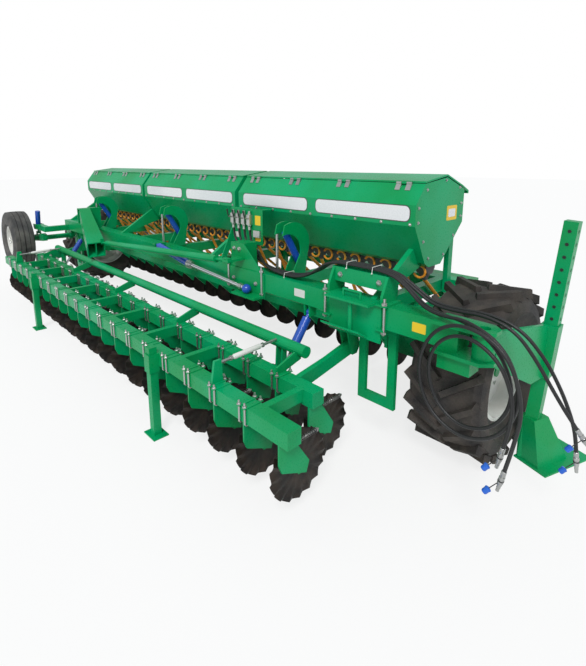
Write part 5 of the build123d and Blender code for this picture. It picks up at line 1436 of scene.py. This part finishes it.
@dataclass
class Studio:
    """Floor, lamps, sky and camera."""

    position: Point = (4.56, -2.85, 2.0)
    pitch: float = 78.5
    yaw: float = 46.0
    lens: float = 23.9
    shift_y: float = -0.12
    floor_reach: float = 60.0
    floor_colour: Colour = (0.86, 0.86, 0.85)
    floor_glow: float = 0.78
    sky_colour: Colour = (0.92, 0.96, 1.0)
    sky_strength: float = 0.62
    sun_strength: float = 1.9
    sun_spread: float = 18.0
    sun_turn: Point = (42.0, 8.0, 28.0)

    def build(self) -> None:
        """Set up the whole studio."""
        self.camera()
        self.floor()
        self.sky()
        self.sun()

    def camera(self) -> None:
        """Place the camera."""
        data = bpy.data.cameras.new("view")
        data.sensor_width = 36.0
        data.lens = self.lens
        data.shift_y = self.shift_y
        data.clip_end = 200.0
        eye = bpy.data.objects.new("view", data)
        eye.location = self.position
        eye.rotation_euler = (math.radians(self.pitch), 0.0, math.radians(self.yaw))
        bpy.context.scene.collection.objects.link(eye)
        bpy.context.scene.camera = eye

    def floor(self) -> None:
        """Build the pale floor, which shows near white and keeps soft shadows."""
        mesh = bpy.data.meshes.new("floor")
        reach = self.floor_reach
        mesh.from_pydata([(-reach, -reach, 0), (reach, -reach, 0), (reach, reach, 0),
                          (-reach, reach, 0)], [], [(0, 1, 2, 3)])
        made = bpy.data.objects.new("floor", mesh)
        bpy.context.scene.collection.objects.link(made)
        paint = bpy.data.materials.new("floor_paper")
        paint.use_nodes = True
        nodes, links = paint.node_tree.nodes, paint.node_tree.links
        shader = nodes["Principled BSDF"]
        shader.inputs["Base Color"].default_value = (*self.floor_colour, 1.0)
        shader.inputs["Roughness"].default_value = 0.9
        glow, mix = nodes.new("ShaderNodeEmission"), nodes.new("ShaderNodeMixShader")
        seen, most = nodes.new("ShaderNodeLightPath"), nodes.new("ShaderNodeMath")
        most.operation = "MULTIPLY"
        most.inputs[1].default_value = self.floor_glow
        links.new(seen.outputs["Is Camera Ray"], most.inputs[0])
        links.new(most.outputs[0], mix.inputs["Fac"])
        links.new(shader.outputs[0], mix.inputs[1])
        links.new(glow.outputs[0], mix.inputs[2])
        links.new(mix.outputs[0], nodes["Material Output"].inputs["Surface"])
        mesh.materials.append(paint)

    def sky(self) -> None:
        """Set the sky, which shows white behind the machine."""
        world = bpy.data.worlds.new("studio_sky")
        bpy.context.scene.world = world
        world.use_nodes = True
        nodes, links = world.node_tree.nodes, world.node_tree.links
        ground, white = nodes["Background"], nodes.new("ShaderNodeBackground")
        for shade, colour, strength in ((ground, self.sky_colour, self.sky_strength),
                                        (white, (1.0, 1.0, 1.0), 1.0)):
            shade.inputs["Color"].default_value = (*colour, 1.0)
            shade.inputs["Strength"].default_value = strength
        mix, either = nodes.new("ShaderNodeMixShader"), nodes.new("ShaderNodeMath")
        seen = nodes.new("ShaderNodeLightPath")
        either.operation = "MAXIMUM"
        links.new(seen.outputs["Is Camera Ray"], either.inputs[0])
        links.new(seen.outputs["Is Transmission Ray"], either.inputs[1])
        links.new(either.outputs[0], mix.inputs["Fac"])
        links.new(ground.outputs[0], mix.inputs[1])
        links.new(white.outputs[0], mix.inputs[2])
        links.new(mix.outputs[0], nodes["World Output"].inputs["Surface"])

    def sun(self) -> None:
        """Set one soft sun."""
        data = bpy.data.lights.new("sun", "SUN")
        data.energy = self.sun_strength
        data.angle = math.radians(self.sun_spread)
        sun = bpy.data.objects.new("sun", data)
        sun.rotation_euler = [math.radians(turn) for turn in self.sun_turn]
        bpy.context.scene.collection.objects.link(sun)


def build_model(frame: dict) -> None:
    """Build every piece in order.
    """
    paints = Paintbox()
    Studio().build()
    Hoses(paints).build()
    paints.dress_frame(frame)
    repeater = Repeater(paints, RepeatTree().build(), CoilTree().build())
    for assembly in (
        HopperTrim(paints, repeater),
        SeedFeed(paints, repeater),
        Openers(paints, repeater),
        CoulterGang(paints, repeater),
        RoadTyre(paints, "road_tyre_front", "transport_tyre_front", Body.TOW_FRONT),
        RoadTyre(paints, "road_tyre_rear", "transport_tyre_rear", Body.TOW_REAR),
        WheelNuts(paints, repeater),
        FrontGear(paints),
        TowerTrim(paints),
    ):
        assembly.build()


def main() -> None:
    """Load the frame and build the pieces."""
    logging.basicConfig(level=logging.INFO, format="%(name)s: %(message)s")
    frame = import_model()
    bpy.context.scene.view_settings.view_transform = "Standard"
    build_model(frame)
    bpy.context.view_layer.update()


if __name__ == "__main__":
    main()
